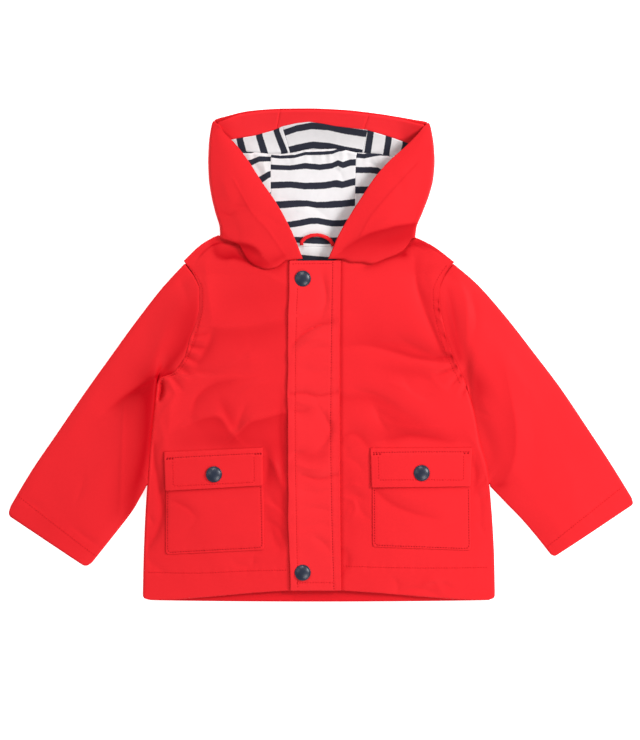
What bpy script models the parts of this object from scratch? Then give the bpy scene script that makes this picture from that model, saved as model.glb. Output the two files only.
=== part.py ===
"""A small child's hooded rain jacket, lying flat on its back with its front up.

The jacket is modelled from the pieces that a maker cuts and sews: a back, two fronts, two tube
sleeves, a three-panel hood with its lining and facing, a storm flap, two patch pockets with
flaps, a hanger loop and four snap caps. +X points to the wearer's left, +Y to the hood, +Z up
out of the jacket's front. The origin is under the middle of its outline, on the surface it
lies on.

Tables and sizes are in millimetres. sheet() and turned() turn them into metres.
"""

import math
from collections import namedtuple

import bmesh
import bpy
import numpy as np

MM = 0.001

# Cloth thicknesses, and the gap between layers and at seams.
SHELL = 1.4
SLEEVE_WALL = 1.2
LINING = 1.0
STORM_FLAP = 1.8
POCKET = 1.2
POCKET_FLAP = 1.6
GAP = 0.3
SEAM = GAP / 2
ON_SHELL = SHELL + GAP
ON_FRONT = 0.5
ON_TRAY = SHELL + 2 * GAP
TURNED_IN = 0.2

# Heights of the outer face above the surface that the jacket lies on.
SEAM_EDGE = 2 * SHELL + GAP
SLEEVE_EDGE = 5.0
ARMHOLE_HEIGHT = 11.5
SIDE_REACH = 24.0

# Mesh steps. The fronts' columns crowd towards the side by the power FRONT_SPREAD.
SIDE_STEPS, ARMHOLE_STEPS, SHOULDER_STEPS = 10, 10, 3
FRONT_COLUMNS, FRONT_SPREAD, BACK_COLUMNS = 12, 1.4, 12
SLEEVE_STEPS, SLEEVE_COLUMNS, SLEEVE_ARC = 14, ARMHOLE_STEPS, 2
STORM_FLAP_STEPS, STORM_FLAP_COLUMNS, POCKET_STEPS, POCKET_FLAP_STEPS = 24, 5, 10, 6
CENTRE_COLUMNS, CENTRE_STEPS, CROWN_STEPS, CROWN_START = 8, 5, 7, 0.64

# Shape powers: how full the body is across, how flat the tubes are, and how far up the hem's bow
# and the neckline's curve reach.
BODY_FULLNESS, TUBE_FLATNESS = 0.8, 3
NECKLINE_REACH, BACK_NECK_REACH, HEM_REACH = 6, 8, 6

# The outline of the body, from the hem up. right and left are the wearer's.
Side = namedtuple("Side", "y right left")
SIDE_SEAM = [
    Side(-228.0, -165.3, 163.2),
    Side(-190.0, -164.5, 162.5),
    Side(-147.0, -162.8, 160.2),
    Side(-105.0, -159.8, 155.7),
    Side(-80.0, -158.1, 149.0),
    Side(-52.0, -156.0, 143.4),
    Side(-27.5, -150.6, 136.4),
]
ARMHOLE = [
    Side(-27.5, -150.6, 136.4),
    Side(-15.5, -137.5, 131.2),
    Side(-0.5, -125.5, 124.0),
    Side(15.5, -121.0, 118.2),
    Side(31.5, -115.0, 114.3),
    Side(46.0, -112.3, 111.5),
    Side(60.0, -112.3, 111.0),
    Side(73.0, -117.5, 116.0),
    Side(85.5, -127.0, 125.0),
]
SHOULDER = [
    Side(85.5, -127.0, 125.0),
    Side(100.0, -110.5, 105.0),
    Side(108.0, -96.0, 88.5),
]
HEM_Y, UNDERARM_Y, TIP_Y, NECK_POINT_Y = -228.0, -27.5, 85.5, 108.0

# The front hem rises towards the middle, where the back's hem shows below it.
FRONT_HEM_MIDDLE_Y = -218.3
BACK_HEM_DROP = 1.4
HEM_CORNER = 1.5

# How high the front lies along the middle of the body.
Crown = namedtuple("Crown", "y height")
BODY_CROWN = [
    Crown(-228.0, 9.8),
    Crown(-200.0, 10.8),
    Crown(-150.0, 12.8),
    Crown(-80.0, 13.8),
    Crown(0.0, 14.2),
    Crown(55.0, 13.0),
    Crown(88.0, 10.2),
    Crown(108.0, 8.6),
]

# The fronts' necklines, under the hood, from the neck point to the centre.
Neck = namedtuple("Neck", "x y")
NECKLINE = {
    "right": [
        Neck(-96.0, 108.0),
        Neck(-82.0, 103.5),
        Neck(-70.0, 97.0),
        Neck(-58.0, 90.5),
        Neck(-48.0, 87.5),
        Neck(-6.0, 88.0),
    ],
    "left": [
        Neck(88.5, 108.0),
        Neck(79.0, 101.0),
        Neck(62.0, 93.5),
        Neck(48.0, 89.0),
        Neck(-6.0, 88.0),
    ],
}
BACK_NECK_Y, BACK_NECK_RISE, BACK_NECK_HALF = 101.5, 6.5, 92.0
CENTRE_FRONT_X = -5.7

# Large soft folds: a trough where depth is negative, a ridge where it is positive.
Fold = namedtuple("Fold", "x0 y0 x1 y1 width depth")
FRONT_FOLDS = [
    Fold(-104, 26, -40, 37, 9, -1.3),
    Fold(-104, 42, -44, 52, 10, 0.8),
    Fold(-106, -54, -84, -71, 7, -1.3),
    Fold(-84, -71, -64, -51, 7, -1.3),
    Fold(-100, -74, -72, -76, 6, 0.8),
    Fold(-128, 6, -104, 20, 5, -0.9),
    Fold(84, 72, 106, 16, 8, -1.1),
    Fold(24, 8, 72, 12, 8, -1.0),
    Fold(72, 12, 112, -2, 8, -1.0),
    Fold(70, -76, 106, -78, 7, -1.3),
    Fold(26, -64, 50, -80, 6, -0.9),
]
SLEEVE_FOLDS = [
    Fold(-140, -15, -200, -48, 8, -1.8),
    Fold(-152, 8, -206, -18, 11, 1.0),
    Fold(-172, -64, -196, -136, 11, -1.2),
    Fold(128, 50, 134, -4, 8, -1.8),
    Fold(146, -32, 172, -58, 9, -1.5),
    Fold(158, 14, 196, -34, 12, 0.9),
    Fold(176, -70, 200, -130, 12, -1.0),
]

# The sleeves, a row for each section from armhole to cuff.
SleeveRow = namedtuple("SleeveRow", "outer_x outer_y inner_x inner_y height bow")
Station = namedtuple("Station", ("s",) + SleeveRow._fields)
SLEEVE = {
    "right": [
        SleeveRow(-127.3, 85.7, -152.4, -27.5, ARMHOLE_HEIGHT, 1.00),
        SleeveRow(-146.5, 64.6, -156.7, -45.6, 11.8, 0.60),
        SleeveRow(-172.0, 31.4, -159.5, -73.0, 11.5, 0.25),
        SleeveRow(-196.7, -3.0, -161.8, -100.5, 10.5, 0.08),
        SleeveRow(-221.2, -37.5, -166.6, -127.4, 10.0, 0.0),
        SleeveRow(-245.0, -72.4, -180.4, -151.2, 9.5, 0.0),
        SleeveRow(-268.8, -107.4, -197.6, -173.4, 9.2, 0.0),
        SleeveRow(-292.6, -147.4, -216.4, -198.0, 8.8, 0.0),
    ],
    "left": [
        SleeveRow(125.3, 85.7, 138.0, -27.5, ARMHOLE_HEIGHT, 1.00),
        SleeveRow(146.2, 67.5, 143.6, -45.3, 11.8, 0.60),
        SleeveRow(173.5, 36.1, 149.8, -72.3, 11.5, 0.25),
        SleeveRow(199.0, 3.1, 156.2, -99.0, 10.5, 0.08),
        SleeveRow(224.0, -30.1, 164.8, -124.8, 10.0, 0.0),
        SleeveRow(247.3, -64.7, 181.8, -146.6, 9.5, 0.0),
        SleeveRow(270.2, -99.5, 199.9, -167.4, 9.2, 0.0),
        SleeveRow(293.6, -137.4, 217.2, -188.2, 8.8, 0.0),
    ],
}
BOW_FADE = 8.0
UNDERARM_GAP = 1.6

# The hood's rim over the crown, and where its wall leaves the surface.
Rim = namedtuple("Rim", "x y height")
RIM = [
    Rim(-99.0, 218.0, 15.5),
    Rim(-72.0, 226.0, 20.0),
    Rim(-37.0, 229.2, 24.0),
    Rim(-10.0, 229.3, 26.0),
    Rim(18.5, 228.2, 25.5),
    Rim(45.8, 225.6, 23.0),
    Rim(74.5, 221.3, 18.5),
    Rim(100.8, 216.3, 15.5),
]
CROWN_FOOT_Y = 186.0
CROWN_LEAN = 1.5

# The hood's side panels, a row for each section from the neck to the rim. Each section runs from
# the seam with the centre panel, round the fold at the side, and back to the front edge.
# From CORNER_ROW on the panel has no upper layer: it ends at the rim.
HoodRow = namedtuple("HoodRow", "seam_y fold_x fold_y edge_x edge_y fold_z edge_z bulge turn")
HOOD = {
    "right": [
        HoodRow(103.2, -93.0, 109.2, -16.0, 89.8, 11.5, 12.6, 0.5, 6.0),
        HoodRow(115.0, -93.5, 119.0, -23.0, 108.0, 11.5, 14.5, 2.5, 6.0),
        HoodRow(129.0, -97.8, 134.0, -31.5, 126.0, 12.0, 15.5, 4.0, 6.0),
        HoodRow(142.0, -101.5, 150.0, -41.5, 143.5, 12.5, 15.5, 4.5, 6.0),
        HoodRow(154.0, -103.6, 165.0, -54.0, 161.5, 13.0, 15.5, 4.0, 6.0),
        HoodRow(164.0, -104.2, 181.0, -66.5, 181.0, 13.5, 15.5, 3.0, 6.0),
        HoodRow(172.0, -103.6, 195.5, -78.5, 196.5, 15.0, 16.0, 2.0, 5.0),
        HoodRow(179.0, -102.0, 208.0, -90.0, 208.0, 17.0, 17.4, 0.8, 4.0),
        HoodRow(184.0, -99.0, 218.0, -94.0, 213.4, 19.6, 19.4, 0.0, 2.6),
        HoodRow(187.0, -85.0, 222.9, 0, 0, 0, 0, 0, 0),
        HoodRow(189.5, -69.0, 226.6, 0, 0, 0, 0, 0, 0),
        HoodRow(191.5, -53.0, 228.3, 0, 0, 0, 0, 0, 0),
        HoodRow(193.0, -37.0, 229.2, 0, 0, 0, 0, 0, 0),
    ],
    "left": [
        HoodRow(103.2, 88.5, 109.2, 7.5, 89.8, 11.5, 12.6, 0.5, 6.0),
        HoodRow(115.0, 90.0, 119.5, 17.0, 111.5, 11.5, 14.5, 2.5, 6.0),
        HoodRow(129.0, 95.5, 133.0, 27.5, 130.0, 12.0, 15.5, 4.0, 6.0),
        HoodRow(142.0, 101.5, 149.0, 39.0, 148.0, 12.5, 15.5, 4.5, 6.0),
        HoodRow(154.0, 105.5, 164.5, 51.5, 166.5, 13.0, 15.5, 4.0, 6.0),
        HoodRow(163.0, 106.8, 180.5, 65.5, 182.0, 13.5, 15.5, 3.0, 6.0),
        HoodRow(171.0, 106.2, 193.0, 78.5, 193.5, 15.0, 16.0, 2.0, 5.0),
        HoodRow(178.0, 104.3, 206.0, 91.0, 206.0, 17.0, 17.4, 0.8, 4.0),
        HoodRow(183.0, 100.8, 216.3, 95.8, 211.8, 19.6, 19.4, 0.0, 2.6),
        HoodRow(186.5, 87.5, 219.2, 0, 0, 0, 0, 0, 0),
        HoodRow(189.0, 73.5, 221.6, 0, 0, 0, 0, 0, 0),
        HoodRow(191.0, 59.5, 223.8, 0, 0, 0, 0, 0, 0),
        HoodRow(193.0, 45.8, 225.6, 0, 0, 0, 0, 0, 0),
    ],
}
CORNER_ROW = 8
LOWER_COLUMNS, TURN_COLUMNS, UPPER_COLUMNS = 5, 5, 8

# The hood's lower front edge, where it hangs over the fronts, and how far that droop reaches up.
HOOD_HEM = {
    "right": [
        Neck(-93.0, 109.2),
        Neck(-82.0, 102.5),
        Neck(-70.5, 94.0),
        Neck(-59.5, 86.5),
        Neck(-49.5, 83.0),
        Neck(-39.0, 84.5),
        Neck(-31.5, 89.9),
        Neck(-16.0, 90.0),
    ],
    "left": [
        Neck(88.5, 109.2),
        Neck(79.6, 98.0),
        Neck(62.0, 90.0),
        Neck(48.5, 85.5),
        Neck(39.5, 87.0),
        Neck(30.0, 87.0),
        Neck(20.5, 89.9),
        Neck(7.5, 90.0),
    ],
}
DROOP_FADE = [1.0, 0.45, 0.12]

# The seams between the centre panel and the side panels, in the shell and in the lining.
GUSSET = [
    Side(102.0, -45.3, 33.3),
    Side(140.0, -46.0, 32.7),
    Side(180.0, -46.0, 33.3),
    Side(193.0, -44.7, 34.9),
    Side(210.0, -40.8, 40.0),
    Side(229.0, -36.9, 46.6),
]

# The fold where the back's lining lies over the crown's, and the facing's lower seam.
Level = namedtuple("Level", "x y")
LINING_FOLD = [
    Level(-92.0, 193.0),
    Level(-78.0, 191.0),
    Level(-47.0, 186.5),
    Level(-10.0, 191.0),
    Level(15.0, 190.5),
    Level(33.5, 186.5),
    Level(62.5, 185.0),
    Level(90.0, 180.0),
]
FACING_SEAM = [
    Level(-94.0, 199.0),
    Level(-84.0, 200.5),
    Level(-51.5, 205.5),
    Level(-34.5, 212.0),
    Level(-10.0, 217.0),
    Level(7.0, 214.2),
    Level(24.0, 210.3),
    Level(44.0, 209.5),
    Level(64.0, 203.0),
    Level(82.0, 197.0),
    Level(92.0, 194.0),
]
LINING_FOLD_LIFT, LINING_FOLD_START_Y = 2.6, 160.0
LINING_OVERLAP = 5.0
LINING_SIDE_RIGHT, LINING_SIDE_LEFT = Level(-84.0, 140.0), Level(82.0, 132.0)
CROWN_LINING_RIGHT_X, CROWN_LINING_LEFT_X = -88.0, 86.0
FACING_RIGHT_X, FACING_LEFT_X = -91.5, 92.5

# The storm flap, pockets, loop and snaps.
FlapRow = namedtuple("FlapRow", "y left_edge seam")
STORM_FLAP_ROWS = [
    FlapRow(-218.9, -27.5, 19.8),
    FlapRow(-140.0, -29.8, 18.8),
    FlapRow(0.0, -30.2, 18.2),
    FlapRow(88.3, -28.2, 19.4),
]
Corners = namedtuple("Corners", "top_left top_right bottom_right bottom_left")
POCKET_CORNERS = {
    "right": Corners((-143.6, -100.0), (-53.0, -96.5), (-51.8, -180.7), (-143.9, -185.3)),
    "left": Corners((47.2, -97.5), (140.2, -97.5), (140.6, -181.6), (47.6, -179.0)),
}
POCKET_FLAP_CORNERS = {
    "right": Corners((-145.3, -89.6), (-53.2, -85.4), (-53.4, -120.8), (-144.2, -126.0)),
    "left": Corners((46.6, -85.8), (141.4, -85.6), (140.4, -121.8), (47.8, -122.8)),
}
POCKET_ROUND = 5.0
FLAP_ROUND = 2.5
FLAP_RAMP = 0.2
Snap = namedtuple("Snap", "name x y on")
SNAPS = [
    Snap("snap_top", -16.0, 71.4, "storm_flap"),
    Snap("snap_bottom", -16.1, -201.9, "storm_flap"),
    Snap("snap_pocket_right", -98.5, -110.4, "pocket_flap"),
    Snap("snap_pocket_left", 94.5, -109.2, "pocket_flap"),
]
Turn = namedtuple("Turn", "radius z")
SNAP_PROFILE = [
    Turn(7.5, 0.0),
    Turn(7.5, 0.8),
    Turn(7.1, 1.3),
    Turn(6.5, 1.4),
    Turn(6.0, 1.3),
    Turn(4.4, 1.9),
    Turn(2.3, 2.25),
]
SNAP_TOP_Z, SNAP_SIDES = 2.35, 24
LOOP_CENTRE_X, LOOP_FOOT_Y, LOOP_HALF_WIDTH, LOOP_RISE = -3.0, 103.6, 14.8, 8.6
LOOP_RADIUS, LOOP_STEPS = 1.7, 14
NECK_LINING_X, NECK_LINING_Y = (-34.0, 27.0), (58.0, 100.9)
HEM_FACING_DEPTH, HEM_FACING_HALF, HEM_FACING_BOW = 22.0, 158.0, 165.0

Finish = namedtuple("Finish", "color roughness")
RED = Finish((0.80, 0.02, 0.03), 0.55)
RED_INSIDE = Finish((0.70, 0.015, 0.025), 0.65)
JERSEY = Finish((0.86, 0.85, 0.86), 0.9)
NAVY = Finish((0.03, 0.05, 0.09), 0.25)


# ---------------------------------------------------------------- curves and heights


def smooth(at, table, key, column):
    """The table's column at the key value `at`, on a smooth curve through its rows with no overshoot."""
    keys = np.array([getattr(row, key) for row in table], float)
    values = np.array([getattr(row, column) for row in table], float)
    if keys[0] > keys[-1]:
        keys, values = keys[::-1], values[::-1]
    steps = np.diff(keys)
    slopes = np.diff(values) / steps
    tangents = np.empty_like(values)
    tangents[0], tangents[-1] = slopes[0], slopes[-1]
    same_way = slopes[:-1] * slopes[1:] > 0
    total = np.where(same_way, slopes[:-1] + slopes[1:], 1.0)
    tangents[1:-1] = np.where(same_way, 2 * slopes[:-1] * slopes[1:] / total, 0.0)
    at = np.clip(at, keys[0], keys[-1])
    i = np.clip(np.searchsorted(keys, at, side="right") - 1, 0, len(steps) - 1)
    t = (at - keys[i]) / steps[i]
    return (
        values[i] * (2 * t**3 - 3 * t**2 + 1)
        + values[i + 1] * (3 * t**2 - 2 * t**3)
        + tangents[i] * steps[i] * (t**3 - 2 * t**2 + t)
        + tangents[i + 1] * steps[i] * (t**3 - t**2)
    )


def ease(t):
    """0 to 1 with level ends."""
    t = np.clip(t, 0.0, 1.0)
    return t * t * (3 - 2 * t)


def toward_underarm(t):
    """Steps along the armhole from the shoulder's tip, closer together near the underarm's corner."""
    return 1 - (1 - t) ** (1 + t)


def across(t):
    """The height of a flattened tube across its width, 0 at both edges and 1 in the middle."""
    return 1 - np.abs(2 * t - 1) ** TUBE_FLATNESS


def folds(x, y, table):
    """The rise or fall at (x, y) of the soft folds in a table."""
    total = 0.0
    for f in table:
        run = np.array((f.x1 - f.x0, f.y1 - f.y0), float)
        length2 = run @ run
        t = np.clip(((x - f.x0) * run[0] + (y - f.y0) * run[1]) / length2, 0, 1)
        off2 = (x - f.x0 - t * run[0]) ** 2 + (y - f.y0 - t * run[1]) ** 2
        strength = 0.35 + 0.65 * math.sin(math.pi * (0.15 + 0.7 * t))
        total += f.depth * strength * np.exp(-off2 / f.width**2)
    return total


def side_x(side, y):
    """The body's edge at a height y: side seam, armhole, then shoulder."""
    table = SIDE_SEAM if y <= UNDERARM_Y else ARMHOLE if y <= TIP_Y else SHOULDER
    return float(smooth(y, table, "y", side))


def edge_height(y):
    """The outer face's height at the body's edge: low at seams, the sleeve's at the armhole."""
    along = np.clip((y - UNDERARM_Y) / (TIP_Y - UNDERARM_Y), 0, 1)
    return SEAM_EDGE + (ARMHOLE_HEIGHT - SEAM_EDGE) * across(along)


def front_top(x, y):
    """The height of the fronts' outer face."""
    crown = float(smooth(y, BODY_CROWN, "y", "height"))
    edge = float(edge_height(y))
    inside = min(x - side_x("right", y), side_x("left", y) - x)
    rise = math.sin(math.pi / 2 * min(max(inside, 0) / SIDE_REACH, 1)) ** BODY_FULLNESS
    return edge + (crown - edge) * rise + folds(x, y, FRONT_FOLDS) * ease(inside / SIDE_REACH)


def rim_at(x):
    """The rim's y and height over the crown."""
    return float(smooth(x, RIM, "x", "y")), float(smooth(x, RIM, "x", "height"))


def tray(x, y):
    """The outer face's height under the hood: level, then leaning out up to the rim at the crown."""
    top_y, rim_z = rim_at(x)
    rise = min(max((y - CROWN_FOOT_Y) / (top_y - CROWN_FOOT_Y), 0), 1)
    return rim_z * rise**CROWN_LEAN


def inside_tray(x, y, lift):
    """The point `lift` inside the tray's outer face over (x, y), square to the face."""
    step = 0.5
    slope_x = (tray(x + step, y) - tray(x - step, y)) / (2 * step)
    slope_y = (tray(x, y) - tray(x, y - step)) / step
    up = np.array((-slope_x, -slope_y, 1.0))
    return np.array((x, y, tray(x, y))) + up / np.linalg.norm(up) * lift


# ---------------------------------------------------------------- meshes and materials


def material(name, finish):
    """One finish, made once and shared."""
    if name in bpy.data.materials:
        return bpy.data.materials[name]
    mat = bpy.data.materials.new(name)
    mat.use_nodes = True
    shader = mat.node_tree.nodes["Principled BSDF"]
    shader.inputs["Base Color"].default_value = (*finish.color, 1)
    shader.inputs["Roughness"].default_value = finish.roughness
    return mat


FINISHES = {"red_cloth": RED, "red_facing": RED_INSIDE, "striped_jersey": JERSEY, "navy_snap": NAVY}


def add_object(name, mesh, slot):
    """Links a mesh, moves its origin to the middle of its box and gives it its material."""
    corners = np.array([v.co[:] for v in mesh.vertices])
    middle = (corners.min(0) + corners.max(0)) / 2
    for vertex in mesh.vertices:
        vertex.co = [c - m for c, m in zip(vertex.co, middle)]
    ob = bpy.data.objects.new(name, mesh)
    ob.location = middle
    bpy.context.collection.objects.link(ob)
    mesh.materials.append(material(slot, FINISHES[slot]))
    return ob


def sheet(name, grid, wall, slot, inward=True, ring=False, skip=None):
    """A cloth piece: a grid of points on one face, given its wall by a Solidify modifier.

    The faces look along rows x columns. inward puts the wall behind them, else in front. ring joins
    the last column to the first. skip(row, column) leaves a cell out.
    """
    grid = np.asarray(grid, float) * MM
    rows, columns = grid.shape[:2]
    mesh = bpy.data.meshes.new(name)
    faces = []
    for r in range(rows - 1):
        for c in range(columns if ring else columns - 1):
            if skip and skip(r, c):
                continue
            d = (c + 1) % columns
            faces.append((r * columns + c, r * columns + d, (r + 1) * columns + d, (r + 1) * columns + c))
    mesh.from_pydata([tuple(p) for p in grid.reshape(-1, 3)], [], faces)
    bm = bmesh.new()
    bm.from_mesh(mesh)
    loose = [v for v in bm.verts if not v.link_faces]
    bmesh.ops.delete(bm, geom=loose, context="VERTS")
    bm.to_mesh(mesh)
    bm.free()
    ob = add_object(name, mesh, slot)
    solidify = ob.modifiers.new("wall", "SOLIDIFY")
    solidify.thickness = wall * MM
    solidify.offset = -1 if inward else 1
    mesh.shade_smooth()
    return ob


def turned(name, profile, top_z, sides, place, slot):
    """A round cap: a profile of radius and z turned about its own axis, closed below and on top."""
    x, y, z = place
    verts = [
        ((x + p.radius * math.cos(a)) * MM, (y + p.radius * math.sin(a)) * MM, (z + p.z) * MM)
        for p in profile
        for a in (2 * math.pi * k / sides for k in range(sides))
    ]
    under, over = len(verts), len(verts) + 1
    verts += [(x * MM, y * MM, z * MM), (x * MM, y * MM, (z + top_z) * MM)]
    faces = []
    last = (len(profile) - 1) * sides
    for k in range(sides):
        n = (k + 1) % sides
        faces.append((under, n, k))
        faces.append((over, last + k, last + n))
        for r in range(len(profile) - 1):
            low, high = r * sides, (r + 1) * sides
            faces.append((low + k, low + n, high + n, high + k))
    mesh = bpy.data.meshes.new(name)
    mesh.from_pydata(verts, [], faces)
    ob = add_object(name, mesh, slot)
    mesh.shade_smooth()
    mesh.set_sharp_from_angle(angle=math.radians(40))
    return ob


# ---------------------------------------------------------------- body


def body_rows():
    """The heights y of the body's rows at its side, from hem to neck point."""
    return np.concatenate([
        np.linspace(HEM_Y, UNDERARM_Y, SIDE_STEPS + 1)[:-1],
        TIP_Y + toward_underarm(np.linspace(1, 0, ARMHOLE_STEPS + 1)[:-1]) * (UNDERARM_Y - TIP_Y),
        np.linspace(TIP_Y, NECK_POINT_Y, SHOULDER_STEPS + 1),
    ])


def front_grid(side):
    """A front's outer face, a row at a time from the hem, each from the side to the centre."""
    centre = CENTRE_FRONT_X + (-SEAM if side == "right" else SEAM)
    neck = NECKLINE[side]
    spread = (np.arange(FRONT_COLUMNS + 1) / FRONT_COLUMNS) ** FRONT_SPREAD
    grid = []
    for y_side in body_rows():
        up = (y_side - HEM_Y) / (NECK_POINT_Y - HEM_Y)
        x_side = side_x(side, y_side)
        y_centre = FRONT_HEM_MIDDLE_Y + up * (neck[-1].y - FRONT_HEM_MIDDLE_Y)
        row = []
        for t in spread:
            x = x_side + t * (centre - x_side)
            y = y_side + (y_centre - y_side) * float(ease(t))
            y_neck = float(smooth(neck[0].x + t * (centre - neck[0].x), neck, "x", "y"))
            y_plain = NECK_POINT_Y + (neck[-1].y - NECK_POINT_Y) * float(ease(t))
            y += (y_neck - y_plain) * up**NECKLINE_REACH
            row.append((x, y, front_top(x, y)))
        grid.append(row)
    return grid


def rounded_corner(point):
    """A hem's side corner, drawn in so that it is round."""
    x, y, z = point
    return x - math.copysign(HEM_CORNER, x), y + HEM_CORNER, z


def back_neck_y(x):
    return BACK_NECK_Y + BACK_NECK_RISE * (x / BACK_NECK_HALF) ** 2


def make_body():
    """The back on the surface, and the two fronts over it."""
    for side in ("right", "left"):
        grid = front_grid(side)
        grid[0][0] = rounded_corner(grid[0][0])
        if side == "left":
            grid = [row[::-1] for row in grid]
        sheet(f"front_{side}", grid, SHELL, "red_cloth")
    grid = []
    for y_side in body_rows():
        up = (y_side - HEM_Y) / (NECK_POINT_Y - HEM_Y)
        right, left = side_x("right", y_side), side_x("left", y_side)
        row = []
        for t in np.linspace(0, 1, BACK_COLUMNS + 1):
            x = right + t * (left - right)
            bow = 1 - (2 * t - 1) ** 2
            y = y_side - BACK_HEM_DROP * bow * (1 - up) ** HEM_REACH
            y += (back_neck_y(x) - NECK_POINT_Y) * (up**BACK_NECK_REACH if bow else 0)
            row.append((x, y, 0.0))
        grid.append(row)
    for column in (0, -1):
        grid[0][column] = rounded_corner(grid[0][column])
    sheet("back", grid, SHELL, "red_cloth", inward=False)


# ---------------------------------------------------------------- sleeves


def armhole_point(side, t):
    """A point on the sleeve's side of the armhole seam, t from the shoulder's tip down."""
    y = TIP_Y + toward_underarm(t) * (UNDERARM_Y - TIP_Y)
    out = -1 if side == "right" else 1
    return np.array((side_x(side, y) + out * (GAP + UNDERARM_GAP * t**6), y))


def sleeve_ring(side, s):
    """One section of a sleeve, s from 0 at the armhole to 1 at the cuff, as a closed ring of points."""
    table = SLEEVE[side]
    numbered = [Station(i / (len(table) - 1), *row) for i, row in enumerate(table)]
    at = {c: float(smooth(s, numbered, "s", c)) for c in SleeveRow._fields}
    outer = np.array((at["outer_x"], at["outer_y"]))
    inner = np.array((at["inner_x"], at["inner_y"]))
    width = np.linalg.norm(inner - outer)
    radius = SLEEVE_EDGE / 2
    first, last = np.array(table[0][:2]), np.array(table[0][2:4])

    def place(t, station):
        bow = armhole_point(side, station) - (first + t * (last - first))
        return outer + t * (inner - outer) + max(at["bow"], 0.0) ** (1 + BOW_FADE * t) * bow

    inset = radius / width
    ring = []
    for k in range(SLEEVE_COLUMNS + 1):
        t = k / SLEEVE_COLUMNS
        x, y = place(inset + t * (1 - 2 * inset), t)
        crown = SLEEVE_EDGE + (at["height"] - SLEEVE_EDGE) * across(t)
        ring.append((x, y, crown + folds(x, y, SLEEVE_FOLDS) * across(t)))
    for k in range(1, SLEEVE_ARC + 1):
        turn = math.pi * k / (SLEEVE_ARC + 1)
        x, y = place(1 - inset + inset * math.sin(turn), 1)
        ring.append((x, y, radius + radius * math.cos(turn)))
    for k in range(SLEEVE_COLUMNS + 1):
        t = 1 - k / SLEEVE_COLUMNS
        x, y = place(inset + t * (1 - 2 * inset), t)
        ring.append((x, y, 0.0))
    for k in range(1, SLEEVE_ARC + 1):
        turn = math.pi * k / (SLEEVE_ARC + 1)
        x, y = place(inset - inset * math.sin(turn), 0)
        ring.append((x, y, radius - radius * math.cos(turn)))
    return ring


def make_sleeves():
    """Two flattened tubes, open at armhole and cuff."""
    for side in ("right", "left"):
        grid = [sleeve_ring(side, s) for s in np.linspace(0, 1, SLEEVE_STEPS + 1)]
        if side == "right":
            grid = [row[::-1] for row in grid]
        sheet(f"sleeve_{side}", grid, SLEEVE_WALL, "red_cloth", ring=True)


# ---------------------------------------------------------------- hood


def seam_x(column, y, gap):
    return float(smooth(y, GUSSET, "y", column)) + gap


def hood_section(side, index):
    """One section of a hood side panel, at a whole or part row of its table."""
    low, part = int(index), index - int(index)
    table = HOOD[side]
    row = table[low]
    if part:
        row = HoodRow(*[p + (q - p) * part for p, q in zip(row, table[low + 1])])
    beside = -SEAM if side == "right" else SEAM
    seam = np.array((seam_x(side, row.seam_y, beside), row.seam_y))
    fold = np.array((row.fold_x, row.fold_y))
    has_upper = index <= CORNER_ROW
    points = []
    reach = np.linalg.norm(fold - seam)
    start = fold + (seam - fold) * row.turn / reach
    for k in range(LOWER_COLUMNS + 1):
        x, y = seam + (start - seam) * k / LOWER_COLUMNS
        if index == len(table) - 1:
            x = seam_x(side, y, beside)
        points.append((x, y, tray(x, y)))
    if not has_upper:
        return points + [points[-1]] * (TURN_COLUMNS + UPPER_COLUMNS)
    edge = np.array((row.edge_x, row.edge_y))
    span = np.linalg.norm(edge - fold)
    back = fold + (edge - fold) * min(row.turn / span, 0.4)
    low_z, middle = points[-1][2], (start + back) / 2
    for k in range(1, TURN_COLUMNS + 1):
        angle = math.pi * (k / TURN_COLUMNS - 0.5)
        side_way = (1 + math.sin(angle)) / 2
        x, y = start + (back - start) * side_way + (fold - middle) * math.cos(angle)
        points.append((x, y, low_z + (row.fold_z - low_z) * side_way))
    droop = float(np.interp(index, range(len(DROOP_FADE)), DROOP_FADE, right=0.0))
    hem = HOOD_HEM[side]
    hem_edge = np.array((hem[-1].x, hem[-1].y))
    hem_fold = np.array((hem[0].x, hem[0].y))
    for k in range(1, UPPER_COLUMNS + 1):
        t = k / UPPER_COLUMNS
        x, y = back + (edge - back) * t
        on_hem = hem_fold + (hem_edge - hem_fold) * t
        y += droop * (float(smooth(on_hem[0], hem, "x", "y")) - on_hem[1])
        z = row.fold_z + (row.edge_z - row.fold_z) * t + row.bulge * math.sin(math.pi * t)
        z = max(z, front_top(x, y) + ON_SHELL + 0.2) if y < NECK_POINT_Y else z
        points.append((x, y, z))
    return points


def neck_y(x):
    return back_neck_y(x) + GAP


def rim_y(x):
    return rim_at(x)[0]


CENTRE_ENDS = (("right", SEAM), ("left", -SEAM))


def end_x(end, v, low_y, high_y):
    """Where a strip's row v ends: a number, or a seam with the centre panel and the gap to it."""
    if not isinstance(end, tuple):
        return end
    column, gap = end
    x = seam_x(column, CROWN_FOOT_Y, gap)
    for _ in range(4):
        x = seam_x(column, low_y(x) + v * (high_y(x) - low_y(x)), gap)
    return x


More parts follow.
